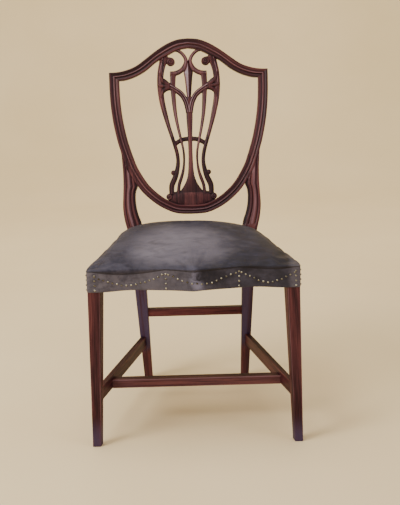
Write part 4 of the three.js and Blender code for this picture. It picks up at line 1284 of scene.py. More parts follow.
def branchSection(q, t):
    ridge = -0.50
    upper = -2.6 * np.clip((ridge - q) / 0.5, 0, 1) ** 2
    lower = -2.6 * np.clip((q - ridge) / 1.5, 0, 1) ** 2 + groove(q, -0.14, 0.13, 1.9)
    return 1.2 * smoothStep(0.0, 0.3, t) - 0.8 * smoothStep(0.35, 0.0, t) + np.where(q < ridge, upper, lower)


def stemSection(q, t):
    return -2.5 * np.abs(q) ** 2.0 + 0.9 * smoothStep(0.10, 0.0, t)


def bandSection(q, t):
    return -2.2 - 1.6 * np.abs(q) ** 2


def fingerSection(q, t):
    return 2.6 - 0.8 * t - 3.4 * q**2 + groove(q, 0.0, 0.15, 0.8)


def neckSection(q, t):
    flutes = groove(q, -0.3, 0.1, 1.5) + groove(q, 0.1, 0.09, 1.2) + groove(q, 0.5, 0.1, 1.5)
    return 0.9 - 2.6 * np.abs(q) ** 2 + flutes


def stain(*table):  # (place along the strip, tone)
    places, tones = zip(*table)
    return lambda q, t: np.interp(t, places, tones)


def evenStain(tone):
    return stain((0, tone), (1, tone))


def ridgeAt(q, place, width):
    return np.exp(-(((q - place) / width) ** 2))


# tone along the arm, with painted highlights along two beads near its top
def armToneAndHighlights(q, t):
    beads = ridgeAt(q, -0.25, 0.13) + 0.7 * ridgeAt(q, 0.72, 0.12)
    return stain(*splat["armTone"])(q, t) - 0.55 * beads * smoothStep(0.74, 0.82, t)


def moundShade(edge):  # painted shade, dark round its rim
    return mix(0.85, 0.34, smoothStep(0, 11, -edge))


# painted highlights along its upper ridge and a lower bead, on a darker body
def branchHighlights(q, t):
    return 0.50 - 0.95 * ridgeAt(q, -0.5, 0.14) - 0.75 * ridgeAt(q, 0.30, 0.14)


def insidePolygon(points, line):
    inside = np.zeros(len(points), bool)
    for (x0, y0), (x1, y1) in zip(line, np.roll(line, -1, axis=0)):
        crosses = (y0 > points[:, 1]) != (y1 > points[:, 1])
        with np.errstate(divide="ignore", invalid="ignore"):
            at = x0 + (points[:, 1] - y0) / (y1 - y0) * (x1 - x0)
        inside ^= crosses & (points[:, 0] < at)
    return inside


class Carving:  # a field of edge distances (negative inside) and of heights above the splat's face
    def __init__(self, x, up):
        self.points = np.column_stack([x.ravel(), up.ravel()])
        self.edge = np.full(len(self.points), 60.0)
        self.height = np.full(len(self.points), -30.0)
        self.tone = np.zeros(len(self.points))

    def add(self, where, edge, height, tone):
        height = height - 1.3 * np.maximum(edge, 0)
        self.tone[where] = np.where(height > self.height[where], tone, self.tone[where])
        fillet = splat["fillet"]
        old = self.edge[where]
        near = np.clip(fillet - np.abs(old - edge), 0, None) / fillet
        self.edge[where] = np.minimum(old, edge) - near**2 * fillet / 4
        self.height[where] = np.maximum(self.height[where], height)

    def close(self, low, high, margin=16):  # the field's points in and around a box
        inBox = (self.points > np.asarray(low) - margin) & (self.points < np.asarray(high) + margin)
        return np.nonzero(inBox.all(axis=1))[0]

    def strip(self, shares, section, steps=60, square=True, flip=False, tone=evenStain(0)):
        sign = -1 if flip else 1
        half, tall = splat["halfWidth"], back["height"]
        line = curve([[x * half, up * tall] for x, up, _ in shares], steps) * [sign, 1]
        width = curve([[w * half / 2] for _, _, w in shares], steps)[:, 0]
        where = self.close(line.min(0), line.max(0), 6 + width.max())
        if not len(where):
            return
        points = self.points[where]
        distance, along, signed = nearestOn(line, points)
        halfWidth = np.interp(along, np.arange(len(line)), width)
        edge = distance - halfWidth
        q = signed / halfWidth
        if square:
            for end, before, mark, turned in ((line[0], line[1], 0, -1), (line[-1], line[-2], steps, 1)):
                run = (end - before) / np.linalg.norm(end - before)
                off = points - end
                aside = turned * (run[0] * off[:, 1] - run[1] * off[:, 0])
                past = np.abs(along - mark) < 1e-9
                edge = np.where(past, np.maximum(np.abs(aside) - halfWidth, off @ run), edge)
                q = np.where(past, aside / halfWidth, q)
        q, t = np.clip(sign * q, -1, 1), along / steps
        self.add(where, edge, section(q, t), tone(q, t))

    def disc(self, place, section, tone=0.0):
        middle = np.array([place[0] * splat["halfWidth"], place[1] * back["height"]])
        where = self.close(middle - place[2], middle + place[2])
        off = self.points[where] - middle
        radius = np.hypot(off[:, 0], off[:, 1])
        turn = np.arctan2(off[:, 1], off[:, 0])
        self.add(where, radius - place[2], section(radius / place[2], turn), tone)

    def polygon(self, shares, section, toneAt):
        half = np.array([[x * splat["halfWidth"], up * back["height"]] for x, up in shares])
        line = np.vstack([half, mirrored(half)[1:]])
        where = self.close([0, line[:, 1].min()], line.max(0))
        points = self.points[where]
        distance = nearestOn(line, points)[0]
        edge = np.where(insidePolygon(points, line), -distance, distance)
        self.add(where, edge, section(*points.T, edge), toneAt(edge))


def voluteSection(r, turn):
    spiral = (r * splat["voluteTurns"] + turn / (2 * math.pi)) % 1.0
    coil = 1 - (2 * np.abs(spiral - 0.5)) ** 2.2
    return 2.6 * coil * smoothStep(1.02, 0.9, r) + 1.2 * (1 - r) - 2.4 * r**7


def knobSection(r, turn):
    return 1.0 - 3.0 * r**2.4 - 1.2 * np.exp(-(((r - 0.45) / 0.14) ** 2))


def earSection(r, turn):
    spiral = (r * 1.4 - turn / (2 * math.pi) + 0.2) % 1.0
    coil = 1 - (2 * np.abs(spiral - 0.5)) ** 2
    return -0.6 + 1.5 * coil * smoothStep(1.0, 0.85, r) - 2.0 * r**4


def dartSection(x, up, edge):
    share = np.clip(np.abs(x) / (np.abs(x) - edge + 1e-6), 0, 1)
    return 2.9 - 7.4 * share


def moundSection(x, up, edge):
    deep = np.clip(-edge / 20, 0, 1)
    dome = 1 - (1 - deep) ** 2
    middle = np.clip(1 - (x / 68) ** 2, 0, 1)
    fan = np.cos(np.arctan2(x, up - 2) * 12)
    return -3.0 + 5.4 * dome * middle**0.8 + 0.25 * fan * deep


def dartFacetMark(edge):
    return splat["dartMark"]


def carveStrips(made):
    made.strip(splat["band"], bandSection, 24, tone=evenStain(0.6))
    made.strip(splat["rib"], ribSection, 80, tone=stain(*splat["ribTone"]))
    made.strip(splat["arm"], armSection, 100, tone=armToneAndHighlights)
    for flip in (False, True):
        made.strip(splat["scroll"], scrollSection, flip=flip)
    made.strip(splat["stem"], stemSection, tone=stain(*splat["stemTone"]))
    made.polygon(splat["mound"], moundSection, moundShade)
    made.disc(splat["ear"], earSection, 0.45)
    made.disc(splat["knob"], knobSection, 0.40)
    for flip in (False, True):
        made.strip(splat["branch"], branchSection, flip=flip, tone=branchHighlights)
    for finger in splat["fingers"]:
        made.strip(finger, fingerSection, 24, square=False, tone=evenStain(0.2))
    made.polygon(splat["dart"], dartSection, dartFacetMark)
    made.strip(splat["neck"], neckSection, 12, tone=evenStain(0.2))
    made.disc(splat["volute"], voluteSection, 0.15)


def carveSplat():  # one half is carved, and mirrored
    cell, (foot, head) = splat["cell"], splat["heights"]
    x = np.arange(0, math.ceil(splat["reach"] / cell) + 1) * cell
    up = np.arange(foot, head, cell)
    gridX, gridUp = np.meshgrid(x, up)
    made = Carving(gridX, gridUp)
    carveStrips(made)
    placeX, placeUp = made.points.T
    top = np.interp(placeX, *crestUnder.T) + splat["lap"]
    low = np.interp(placeX, *shieldInner.T) - splat["lap"]
    edge = np.maximum(made.edge, np.maximum(placeUp - top, low - placeUp))
    fields = [field.reshape(gridX.shape) for field in (edge, np.clip(made.height, -9, 3), made.tone)]
    both = [np.hstack([field[:, :0:-1], field]) for field in fields]
    return np.concatenate([-x[:0:-1], x]), up, *both


# corners (0-3, anticlockwise) and edge crossings (4-7, 4 between corners 0 and 1) round each kind of cell
cellFaces = {
    1: [[0, 4, 7]], 2: [[1, 5, 4]], 3: [[0, 1, 5, 7]], 4: [[2, 6, 5]], 5: [[0, 4, 7], [2, 6, 5]],
    6: [[1, 2, 6, 4]], 7: [[0, 1, 2, 6, 7]], 8: [[3, 7, 6]], 9: [[0, 4, 6, 3]], 10: [[1, 5, 4], [3, 7, 6]],
    11: [[0, 1, 5, 6, 3]], 12: [[2, 3, 7, 5]], 13: [[0, 4, 5, 2, 3]], 14: [[1, 2, 3, 7, 4]],
    15: [[0, 1, 2, 3]],
}


# where the cut edge crosses the grid's lines: the crossings' numbers and places
def crossings(xs, ups, edge, height, level, first):
    a = edge[:, :-1] if level else edge[:-1]
    b = edge[:, 1:] if level else edge[1:]
    crossed = (a < 0) != (b < 0)
    numbers = np.full(a.shape, -1)
    numbers[crossed] = first + np.arange(crossed.sum())
    r, c = np.nonzero(crossed)
    r1, c1 = (r, c + 1) if level else (r + 1, c)
    t = np.clip(a[crossed] / (a[crossed] - b[crossed]), *splat["crossing"])
    places = [mix(xs[c], xs[c1], t), mix(ups[r], ups[r1], t), mix(height[r, c], height[r1, c1], t)]
    return numbers, np.column_stack(places)


def frontCells(inside, numbers, level, upright):  # faces of the carved front, and the edges round it
    corners = [numbers[:-1, :-1], numbers[:-1, 1:], numbers[1:, 1:], numbers[1:, :-1]]
    corners += [level[:-1], upright[:, 1:], level[1:], upright[:, :-1]]
    kinds = inside[:-1, :-1] + inside[:-1, 1:] * 2 + inside[1:, 1:] * 4 + inside[1:, :-1] * 8
    faces, rim = [], []
    for kind, shapes in cellFaces.items():
        where = kinds == kind
        for shape in shapes:
            made = np.stack([corners[k][where] for k in shape], -1)
            faces += made.tolist()
            for k, following in enumerate(shape[1:] + shape[:1]):
                if shape[k] > 3 and following > 3:
                    rim += made[:, [k, (k + 1) % len(shape)]].tolist()
    return faces, rim


def carvedTone(xs, height, inside, tone):  # low on ridges, for painted highlights, and high in hollows and deep parts, for dirt and painted shade, against what lies around
    filled = np.where(inside, height, 0.0)
    weight = inside.astype(float)
    window = range(-4, 5)
    for axis in (0, 1):
        filled = sum(np.roll(filled, k, axis) for k in window) / len(window)
        weight = sum(np.roll(weight, k, axis) for k in window) / len(window)
    around = filled / np.maximum(weight, 1e-3)
    relief = np.clip(0.16 - (height - around) * 0.55 - np.minimum(height + 2.2, 0) * 0.20, -0.05, 1.0)
    left, right = splat["dartLightAndShade"]
    return relief + np.where(tone == splat["dartMark"], np.where(xs < 0, left, right), tone)


def nearestStep(places, steps):
    return np.clip(np.rint((places - steps[0]) / splat["cell"]).astype(int), 0, len(steps) - 1)


def insideTriangles(triangles, origins, edges):  # those on the wood's side of the cut edges
    wood = set(edges)
    cut = wood | {(b, a) for a, b in edges}
    owner, kept, queue = {}, {}, []
    for number, triangle in enumerate(triangles):
        named = [origins[k][0] for k in triangle]
        for edge in zip(named, named[1:] + named[:1]):
            owner[edge] = number
            if edge in cut and number not in kept:
                kept[number] = edge in wood
                queue.append((number, named))
    while queue:
        number, named = queue.pop()
        for a, b in zip(named, named[1:] + named[:1]):
            other = owner.get((b, a))
            if (a, b) not in cut and other is not None and other not in kept:
                kept[other] = kept[number]
                queue.append((other, [origins[k][0] for k in triangles[other]]))
    return [triangle for number, triangle in enumerate(triangles) if kept.get(number)]


def makeSplat():
    xs, ups, edge, height, tone = carveSplat()
    edge = np.where(np.abs(edge) < 1e-3, 1e-3, edge)
    inside = edge < 0
    count = int(inside.sum())
    numbers = np.full(edge.shape, -1)
    numbers[inside] = np.arange(count)
    rows, cols = np.nonzero(inside)
    level, levelPoints = crossings(xs, ups, edge, height, True, count)
    upright, uprightPoints = crossings(xs, ups, edge, height, False, count + len(levelPoints))
    rim = np.vstack([levelPoints, uprightPoints])
    faces, rimEdges = frontCells(inside, numbers, level, upright)
    front = np.vstack([np.column_stack([xs[cols], ups[rows], height[rows, cols]]), rim])

    edges = [(a - count, b - count) for a, b in rimEdges]
    found = delaunay_2d_cdt([Vector(place) for place in rim[:, :2]], edges, [], 1, 1e-7)
    base, flat = len(front), len(front) + len(rim)
    for a, b in edges:
        faces.append([b + count, a + count, a + base, b + base])
        faces.append([b + base, a + base, a + flat, b + flat])
    for triangle in insideTriangles(found[2], found[3], edges):
        faces.append([flat + found[3][k][0] for k in triangle][::-1])
    behind = [rim * [1, 1, 0] + [0, 0, depth - splat["thickness"]] for depth in (splat["backBand"], 0)]
    local = np.vstack([front, *behind])

    relief = carvedTone(xs, height, inside, tone)
    rimTone = relief[nearestStep(rim[:, 1], ups), nearestStep(rim[:, 0], xs)]
    hollow = np.concatenate([relief[inside], rimTone, np.full(2 * len(rim), 0.3)])
    x, up, high = local.T
    points = onBack(x, up, splat["front"] - high)
    piece = makePiece("splat", points, faces, mahogany, np.column_stack([x + 500, high, up]), hollow, 50)
    print("  splat faces", len(faces), "cut edges", len(edges))
    return settle(piece, "mahogany", "splat")


makeSplat()
print("splat carved")

# seat: straps, cloth, stuffing, leather and nails

straps = {
    "width": 50,
    "thickness": 1.4,
    "swell": 0.12,  # the middle stands this much higher and the edges this much lower
    "stations": (90, 13),  # along and across
    "middleHeight": 434.95,
    "weave": 0.9,  # how far a strap rises or dips where it crosses another
    "lengthwiseX": [-100, 0, 100],
    "lengthwiseEnds": [24, 437],
    "crosswiseY": [110, 210, 310],
    "crosswiseReach": [25, 9],  # set back along the side, and in from it
}


def strapHeight(place, crossings, first):  # over one crossing, under the next
    rise = np.zeros(len(place))
    for k, at in enumerate(crossings):
        sign = first * (-1) ** k
        rise += sign * straps["weave"] * (1 - smoothStep(18, 48, np.abs(place - at)))
    return rise


def makeStrap(name, node, lengthwise, at, ends, crossings, first):
    look = straps
    count, wide = look["stations"]
    place = np.linspace(*ends, count)
    middle = look["middleHeight"] + strapHeight(place, crossings, first)
    across = np.linspace(-1, 1, wide)
    swell = look["swell"] * np.cos(across * math.pi)
    high = look["thickness"] / 2 + swell
    low = -look["thickness"] / 2 - swell * 0.2
    section = np.concatenate([high, low[::-1]])
    side = np.concatenate([across, across[::-1]]) * look["width"] / 2
    rings, flat = [], []
    for run, height in zip(place, middle):
        steady = np.full(len(side), run)
        plan = (side + at, steady) if lengthwise else (steady, side + at)
        rings.append(np.column_stack([*plan, height + section]))
        flat.append(np.column_stack([side, steady, section]) / 1000)
    piece = makePiece(name, rings, skin((count, 2 * wide)), jute, sharpAngle=60)
    addAttribute(piece.data, "flat", "FLOAT_VECTOR", np.vstack(flat))
    return settle(piece, "jute", node)


def makeStraps(look):
    for k, x in enumerate(look["lengthwiseX"]):
        number = str(k + 1)
        names = "webbingLengthwise" + number, "webbing_lengthwise_" + number
        makeStrap(*names, True, x, look["lengthwiseEnds"], look["crosswiseY"], (-1) ** k)
    setback, inset = look["crosswiseReach"]
    for k, y in enumerate(look["crosswiseY"]):
        number = str(k + 1)
        names = "webbingCrosswise" + number, "webbing_crosswise_" + number
        half = float(sideX(y + setback)) - inset
        makeStrap(*names, False, y, (-half, half), look["lengthwiseX"], -((-1) ** k))


baseCloth = {
    "height": 436.95,
    "thickness": 0.8,
    "inset": 8,
    "rearY": 438,
    "rearInset": 3,  # clear of the posts
    "notch": (396, 411),  # where it narrows to pass between them
    "cut": (0.494, 0.445),
    "steps": (96, 86),
    "press": 0.12,  # how far the straps' edges show through it
    "strapEdge": (29, 23),  # from a strap's middle line, where it comes down and where it lies on the strap
    "frontHalf": 250,
}


def makeBaseCloth(look):
    wide, deep = look["steps"]
    u, v = np.meshgrid(np.linspace(-1, 1, wide + 1), np.linspace(0, 1, deep + 1))
    frontY = bowAt(u * look["frontHalf"]) + look["inset"]
    y = mix(frontY, look["rearY"], v)
    half = mix(sideX(y) - look["inset"], rearInnerX - look["rearInset"], smoothStep(*look["notch"], y))
    x = u * half
    bands = sum(smoothStep(*look["strapEdge"], np.abs(x - at)) for at in straps["lengthwiseX"])
    bands += sum(smoothStep(*look["strapEdge"], np.abs(y - at)) for at in straps["crosswiseY"])
    z = look["height"] + look["press"] * np.minimum(bands, 1) + look["thickness"] / 2
    top = np.stack([x, y, z], -1).reshape(-1, 3)
    points, faces = closedSheet(top, top - [0, 0, look["thickness"]], deep + 1, wide + 1)
    piece = makePiece("baseCloth", points, faces, hessian, sharpAngle=60)
    addAttribute(piece.data, "flat", "FLOAT_VECTOR", points / 1000)
    settle(piece, "hessian", "base_cloth")
    return piece


makeStraps(straps)
makeBaseCloth(baseCloth)
print("webbing and base cloth made")


# The leather's plan runs from u = -1 to 1 across and v = 0 to 1 back.
# Its crown is the solid's, leant a little to the picture's left.
seat = {
    "crown": 57,
    "crownShare": 0.61,
    "acrossCurve": 2.15,
    "sideCurve": 0.39,
    "alongCurve": 1.5,
    "frontCurve": 0.9,
    "backCurve": 2.2,
    "rearShare": 0.2,
    "cornerFall": 0.12,  # the crown falls by this share at the front corners
    "cornerReach": 30,
    "edgeHeight": 442,
    "bottom": 388.5,
    "outset": 2.5,
    "lip": 14,
    "cornerRadius": 7,
    "topRound": 15,  # the corners' further rounding over the legs' tops
    "leather": 2.2,
    "hide": (0.64, 0.61),
    "padGap": 0.5,
    "padBottom": 438.2,
    "padLeast": 1.4,  # its thickness along its edge
    "padInset": 0.4,
    "padNotch": (394, 409),  # where it narrows to pass between the posts
    "padPostGap": 2.0,
    "across": 76,
    "along": 50,
    "slack": 3.2,  # the simulation starts this far below the crown
    "slackReach": 60,  # and comes down to that over this distance from the edge
    "mostMove": 7.5,
    "bulge": 3.0,  # the stuffed roll over the nailed edge
    "rollHeight": 30,
    "rollFade": (10, 46),  # distances in from the edge between which it dies away
    "rollStop": (396, 430),  # between these the posts keep it away
    "rollRear": (142, 132),  # behind, it comes in again over this width beside each post
    "creaseTop": 440,
    "creaseFall": 10,
    "cornerFill": 0.18,
    "lean": 0.12,  # the stuffing has shifted a little to the picture's left
    "skew": 0.28,  # and stands fuller there
    "nailFall": 28,
    "turnRadius": 2.2,  # where it turns under the rails
    "postLap": -4,  # behind the posts' faces it stays this far inside the rails
    "postEnd": 440,  # its rear edge inside a post
    "postStep": 0.1,  # half the width of the steps in its plan at the posts' faces
}
# peaks of the festoons along the front and the back (x) and the sides (y), and how deep each one hangs
swagPeaks = {
    "front": [-243, -67, 109, 248],
    "frontFall": [1.0, 0.86, 1.0],
    "frontCrease": [1.1, 0.35, 0.6],
    "side": [7, 143, 278, 408],
    "sideFall": [1, 1, 1],
    "back": [-137, 0, 137],
    "backFall": [1, 1],
    "reach": (249, 412),  # of those along the front (x) and the sides (y)
    "backFrom": 430,  # those along the back lie behind this
}


def crownAt(u, v):
    look = seat
    u = u + look["lean"] * (1 - u**4)
    power = look["acrossCurve"] * (1 - look["skew"] * u)
    across = np.clip(1 - np.abs(u) ** power, 0, 1) ** look["sideCurve"]
    before = np.clip(1 - v / look["crownShare"], 0, 1)
    rise = np.clip(1 - before ** look["alongCurve"], 0, 1) ** look["frontCurve"]
    past = np.clip((v - look["crownShare"]) / (1 - look["crownShare"]), 0, 1)
    fall = 1 - (1 - look["rearShare"]) * past ** look["backCurve"]
    share = across * np.where(v < look["crownShare"], rise, fall)
    corner = np.abs(u) ** 3 * before**2
    return look["crown"] * share ** (1 - look["cornerFill"] * corner)


def planAt(u, v, outset, rounding=0.0):  # plan point: front corners rounded, rear corners in the posts
    u, v = np.asarray(u, float), np.asarray(v, float)
    rearFace = seatFrame["backFaceY"]
    step, faceY = seat["postStep"], seatFrame["postFaceY"]
    frontY = bowAt(u * seatFrame["frontHalf"]) - outset
    rearX = np.abs(u) * (sideX(rearFace + outset) + seat["postLap"])
    inPost = smoothStep(rearInnerX - step, rearInnerX + step, rearX)
    y = mix(frontY, mix(rearFace + outset, seat["postEnd"], inPost), v)
    reach = sideX(y) + mix(outset, seat["postLap"], smoothStep(faceY - step, faceY + step, y))
    x = np.abs(u) * reach
    radius = seat["cornerRadius"] + max(outset, 0) + rounding
    a, b = radius - (reach - x), radius - (y - frontY)
    corner = (a > 0) & (b > 0)
    pull = np.where(corner, np.maximum(a, b) / np.maximum(np.hypot(a, b), 1e-6), 1)
    x = np.where(corner, reach - radius + a * pull, x)
    y = np.where(corner, frontY + radius - b * pull, y)
    return np.sign(u) * x, y


def domeAt(u, v):
    x, y = planAt(u, v, seat["outset"], seat["topRound"])
    toCorner = np.hypot(seatFrame["frontHalf"] - np.abs(x), y)
    fall = 1 - seat["cornerFall"] * np.exp(-((toCorner / seat["cornerReach"]) ** 2))
    return np.stack([x, y, seat["edgeHeight"] + crownAt(u, v) * fall], -1)


def eased(count):  # -1 to 1, closer together towards both ends
    t = np.linspace(-1, 1, count + 1)
    return mix(t, np.sin(t * math.pi / 2), 0.55)


def steppedTo(steps, *places):  # the nearest step moved to each place, so that the leather meets the posts
    for place in places:
        steps[np.argmin(np.abs(steps - place))] = place
    return steps


rearReach = float(sideX(seatFrame["backFaceY"] + seat["outset"]) + seat["postLap"])
postU = (rearInnerX - 2 * seat["postStep"]) / rearReach
postV = seatFrame["postFaceY"] - 2 * seat["postStep"] + seat["outset"]
postV /= seat["postEnd"] + seat["outset"]
seatAcross = steppedTo(eased(seat["across"]), postU, -postU)
seatAlong = steppedTo((eased(seat["along"]) + 1) / 2, postV)
seatGrid = len(seatAlong), len(seatAcross)


def edgeLoop():  # the plan's edge as (u, v), anticlockwise from the front left corner
    u, v = np.meshgrid(seatAcross, seatAlong)
    return np.column_stack([u.ravel(), v.ravel()])[rimOf(*seatGrid)]


def festoons(place, peaks, depths):  # 0 at each peak, and down to its depth between two
    fall = np.zeros(len(place))
    for low, high, deep in zip(peaks[:-1], peaks[1:], depths):
        at = (place - low) / (high - low)
        fall = np.where((at > 0) & (at < 1), deep * np.sin(np.pi * np.clip(at, 0, 1)) ** 1.2, fall)
    return fall


def swagAt(x, y, onFront, frontFall="frontFall"):  # how far the festoons hang down at points of the edge
    front = festoons(x, swagPeaks["front"], swagPeaks[frontFall])
    side = festoons(y, swagPeaks["side"], swagPeaks["sideFall"])
    rear = festoons(x, swagPeaks["back"], swagPeaks["backFall"])
    frontReach, sideReach = swagPeaks["reach"]
    fall = np.where(onFront & (np.abs(x) < frontReach), front, 0)
    fall = np.where(~onFront & (y < sideReach), side, fall)
    return np.where((y >= swagPeaks["backFrom"]) & (np.abs(x) < swagPeaks["back"][-1]), rear, fall)


def creaseHeight(fall):
    return seat["creaseTop"] - seat["creaseFall"] * fall


def wallRows(loop, fall):  # rows of points from the turned-under lip up to just under the dome's edge
    look = seat
    turned = look["turnRadius"]
    crease = creaseHeight(fall)
    rows = []

    def addRow(inset, height, rounding=0.0):
        x, y = planAt(loop[:, 0], loop[:, 1], look["outset"] - inset, rounding)
        rows.append(np.column_stack([x, y, np.broadcast_to(height, len(x))]))

    for inset in (look["lip"], look["lip"] * 0.5, turned):
        addRow(inset, look["bottom"])
    for turn in np.radians([35, 65, 90]):
        addRow(turned * (1 - math.sin(turn)), look["bottom"] + turned * (1 - math.cos(turn)))
    for share in (0.22, 0.45, 0.68, 0.86, 0.96, 1.0):
        addRow(0, mix(look["bottom"] + turned, crease, share))
    for share in (0.12, 0.34, 0.62):
        addRow(0, mix(crease, look["edgeHeight"], share), look["topRound"] * share**2)
    return rows


def buildLeather():  # points and faces, the plan's edge, and how far the festoons fall along it
    look = seat
    loop = edgeLoop()
    edge = domeAt(loop[:, 0], loop[:, 1])
    fall = swagAt(edge[:, 0], edge[:, 1], loop[:, 1] < 1e-6, "frontCrease")
    rows = wallRows(loop, fall)
    u, v = np.meshgrid(seatAcross, seatAlong)
    top = domeAt(u, v)
    fromSide = (1 - np.abs(u)) * seatFrame["frontHalf"]
    fromEnd = np.minimum(v, 1 - v) * look["postEnd"]
    inward = np.minimum(fromSide, fromEnd)
    top[..., 2] -= look["slack"] * smoothStep(0, look["slackReach"], inward)
    points = np.vstack([top.reshape(-1, 3), *rows])
    walls = u.size + np.arange(len(rows) * len(loop)).reshape(len(rows), len(loop))
    walls = np.vstack([walls, rimOf(*seatGrid)])
    there = np.roll(walls, -1, axis=1)
    faces = skin(seatGrid, False, False)
    faces += np.stack([walls[:-1], there[:-1], there[1:], walls[1:]], -1).reshape(-1, 4).tolist()
    return points, faces, edge, fall


# the leather's simulation: cloth over firm stuffing, with a little pressure and its edge held
leatherCloth = {
    "quality": 6,
    "mass": 0.3,
    "tension_stiffness": 6,
    "compression_stiffness": 6,
    "shear_stiffness": 4,
    "bending_stiffness": 3,
    "air_damping": 6,
    "vertex_group_mass": "held",
    "shrink_min": -0.008,
    "use_pressure": True,
    "uniform_pressure_force": 4.0,
}
leatherFrames = 20


def inflate(points):
    mesh = bpy.data.meshes.new("leatherWork")
    mesh.from_pydata(toMetres(points).tolist(), [], skin(seatGrid, False, False))
    work = addObject("leatherWork", mesh)
    group = work.vertex_groups.new(name="held")
    group.add([int(k) for k in rimOf(*seatGrid)], 1.0, "REPLACE")
    cloth = work.modifiers.new("cloth", "CLOTH")
    for key, value in leatherCloth.items():
        setattr(cloth.settings, key, value)
    cloth.settings.effector_weights.gravity = 0
    cloth.collision_settings.use_collision = False
    cloth.point_cache.frame_start = 1
    cloth.point_cache.frame_end = leatherFrames
    scene = bpy.context.scene
    for number in range(1, leatherFrames + 1):
        scene.frame_set(number)
    shaped = work.evaluated_get(bpy.context.evaluated_depsgraph_get()).data
    found = toMillimetres(readVectors(shaped.vertices, "co"))
    scene.frame_set(1)
    bpy.data.objects.remove(work)
    bpy.data.meshes.remove(mesh)
    return found


def cappedMove(start, end, most):
    move = end - start
    length = np.linalg.norm(move, axis=1)[:, None]
    return start + move * np.minimum(1, most / np.maximum(length, 1e-9))


def applyModifiers(piece):
    made = bpy.data.meshes.new_from_object(piece.evaluated_get(bpy.context.evaluated_depsgraph_get()))
    piece.modifiers.clear()
    old = piece.data
    piece.data = made
    bpy.data.meshes.remove(old)


def setPoints(mesh, points):
    mesh.vertices.foreach_set("co", toMetres(points).ravel())
    mesh.update()


# folds pinched into the leather: [x and y at the start, x and y at the end, depth, half width]
folds = [
    [-14, -9, -60, 60, 1.6, 3.2],
    [8, -10, 34, 74, 1.4, 3.0],
    [0, -12, -6, 96, 1.1, 3.4],
    [-30, -4, -96, 30, 0.9, 3.0],
    [30, -2, 104, 34, 0.9, 3.0],
    [-243, 2, -214, 62, 0.9, 3.4],
    [243, 2, 212, 60, 0.9, 3.4],
    [-251, 22, -226, 74, 0.5, 3.0],
    [251, 20, 224, 76, 0.5, 3.0],
    [-214, 4, -176, 48, 0.8, 3.2],
    [216, 4, 178, 46, 0.8, 3.2],
]


def foldDepth(points):
    depth = np.zeros(len(points))
    above = smoothStep(424, 444, points[:, 2])
    steps = 16
    for x0, y0, x1, y1, deep, half in folds:
        line = curve([[x0, y0], [mix(x0, x1, 0.5) + 3, mix(y0, y1, 0.5)], [x1, y1]], steps)
        _, along, signed = nearestOn(line, points[:, :2])
        fade = np.sin(np.pi * np.clip(along / steps, 0, 1) ** 0.55) ** 0.8
        wide = half * (0.7 + 0.9 * along / steps)
        ridge = 0.55 * np.exp(-(((signed - 2.1 * wide) / (1.6 * wide)) ** 2))
        depth += above * deep * fade * (np.exp(-((signed / wide) ** 2)) - ridge)
    return depth


def rollEdge(shape, distance, along, above, edge):  # stuffed roll over the nailed edge, clear of the posts
    run = np.column_stack([np.interp(along, np.arange(len(edge)), np.gradient(edge[:, k])) for k in (0, 1)])
    run /= np.maximum(np.linalg.norm(run, axis=1), 1e-6)[:, None]
    outward = np.column_stack([run[:, 1], -run[:, 0], np.zeros(len(run))])
    x, y, _ = np.abs(shape).T
    stop, resume = seat["rollStop"]
    behind = np.where(y > resume, smoothStep(*seat["rollRear"], x), 0.0)
    roll = np.sin(np.pi * np.clip(above / seat["rollHeight"], 0, 1) ** 0.62)
    roll *= (1 - smoothStep(*seat["rollFade"], distance)) * np.where(y > stop, behind, 1.0)
    return shape + outward * (seat["bulge"] * roll)[:, None]


def openAtPosts(mesh, shape):  # takes away what would lie inside a post
    inner, outer = rearInnerX + 2, seatFrame["rearHalf"] - 1.5
    inPost = []
    for x, y, z in shape:
        between = postFaceAt(z)[0] + 2 < y < seatFrame["backFaceY"] + 1
        inPost.append(between and inner < abs(x) < outer)
    cut = bmesh.new()
    cut.from_mesh(mesh)
    cut.verts.ensure_lookup_table()
    gone = [face for face in cut.faces if all(inPost[vertex.index] for vertex in face.verts)]
    bmesh.ops.delete(cut, geom=gone, context="FACES")
    cut.to_mesh(mesh)
    cut.free()


def thicken(piece, thickness):
    thick = piece.modifiers.new("thick", "SOLIDIFY")
    thick.thickness = thickness / 1000
    thick.offset = -1
    thick.use_rim = True
    thick.use_even_offset = False
    applyModifiers(piece)


def makeLeatherCover():  # gives back its top's simulated points, for the pad
    look = seat
    points, faces, edge, fall = buildLeather()
    top = points[: seatGrid[0] * seatGrid[1]]
    top[:] = cappedMove(top, inflate(top), look["mostMove"])
    piece = makePiece("leatherCover", points, faces, leather, sharpAngle=70)
    smooth = piece.modifiers.new("smooth", "SUBSURF")
    smooth.levels = 1
    smooth.render_levels = 1
    applyModifiers(piece)
    mesh = piece.data
    shape = toMillimetres(readVectors(mesh.vertices, "co"))
    edge = np.vstack([edge[:, :2], edge[:1, :2]])
    distance, along, _ = nearestOn(edge, shape[:, :2])
    above = shape[:, 2] - creaseHeight(np.interp(along, np.arange(len(edge)), np.append(fall, fall[0])))
    shape = rollEdge(shape, distance, along, above, edge)
    setPoints(mesh, shape)
    dent = foldDepth(shape)
    shape = shape - readVectors(mesh.vertices, "normal") * dent[:, None]
    setPoints(mesh, shape)
    # painted shade: a dark line along the crease, and in the folds, kept as the hollow attribute
    line = np.exp(-((above / 1.5) ** 2)) * (distance < 6) * smoothStep(386, 396, shape[:, 2])
    dark = np.clip(line + np.clip(dent, 0, 2) * 0.35, 0, 1)
    mesh.attributes["hollow"].data.foreach_set("value", dark.astype(np.float32))
    addAttribute(mesh, "border", "FLOAT", smoothStep(1.0, -3.0, above) * (distance < 8))
    openAtPosts(mesh, shape)
    thicken(piece, look["leather"])
    settle(piece, "leather", "leather_cover")
    print("  leather's highest point", round(float(shape[:, 2].max()), 1))
    return top


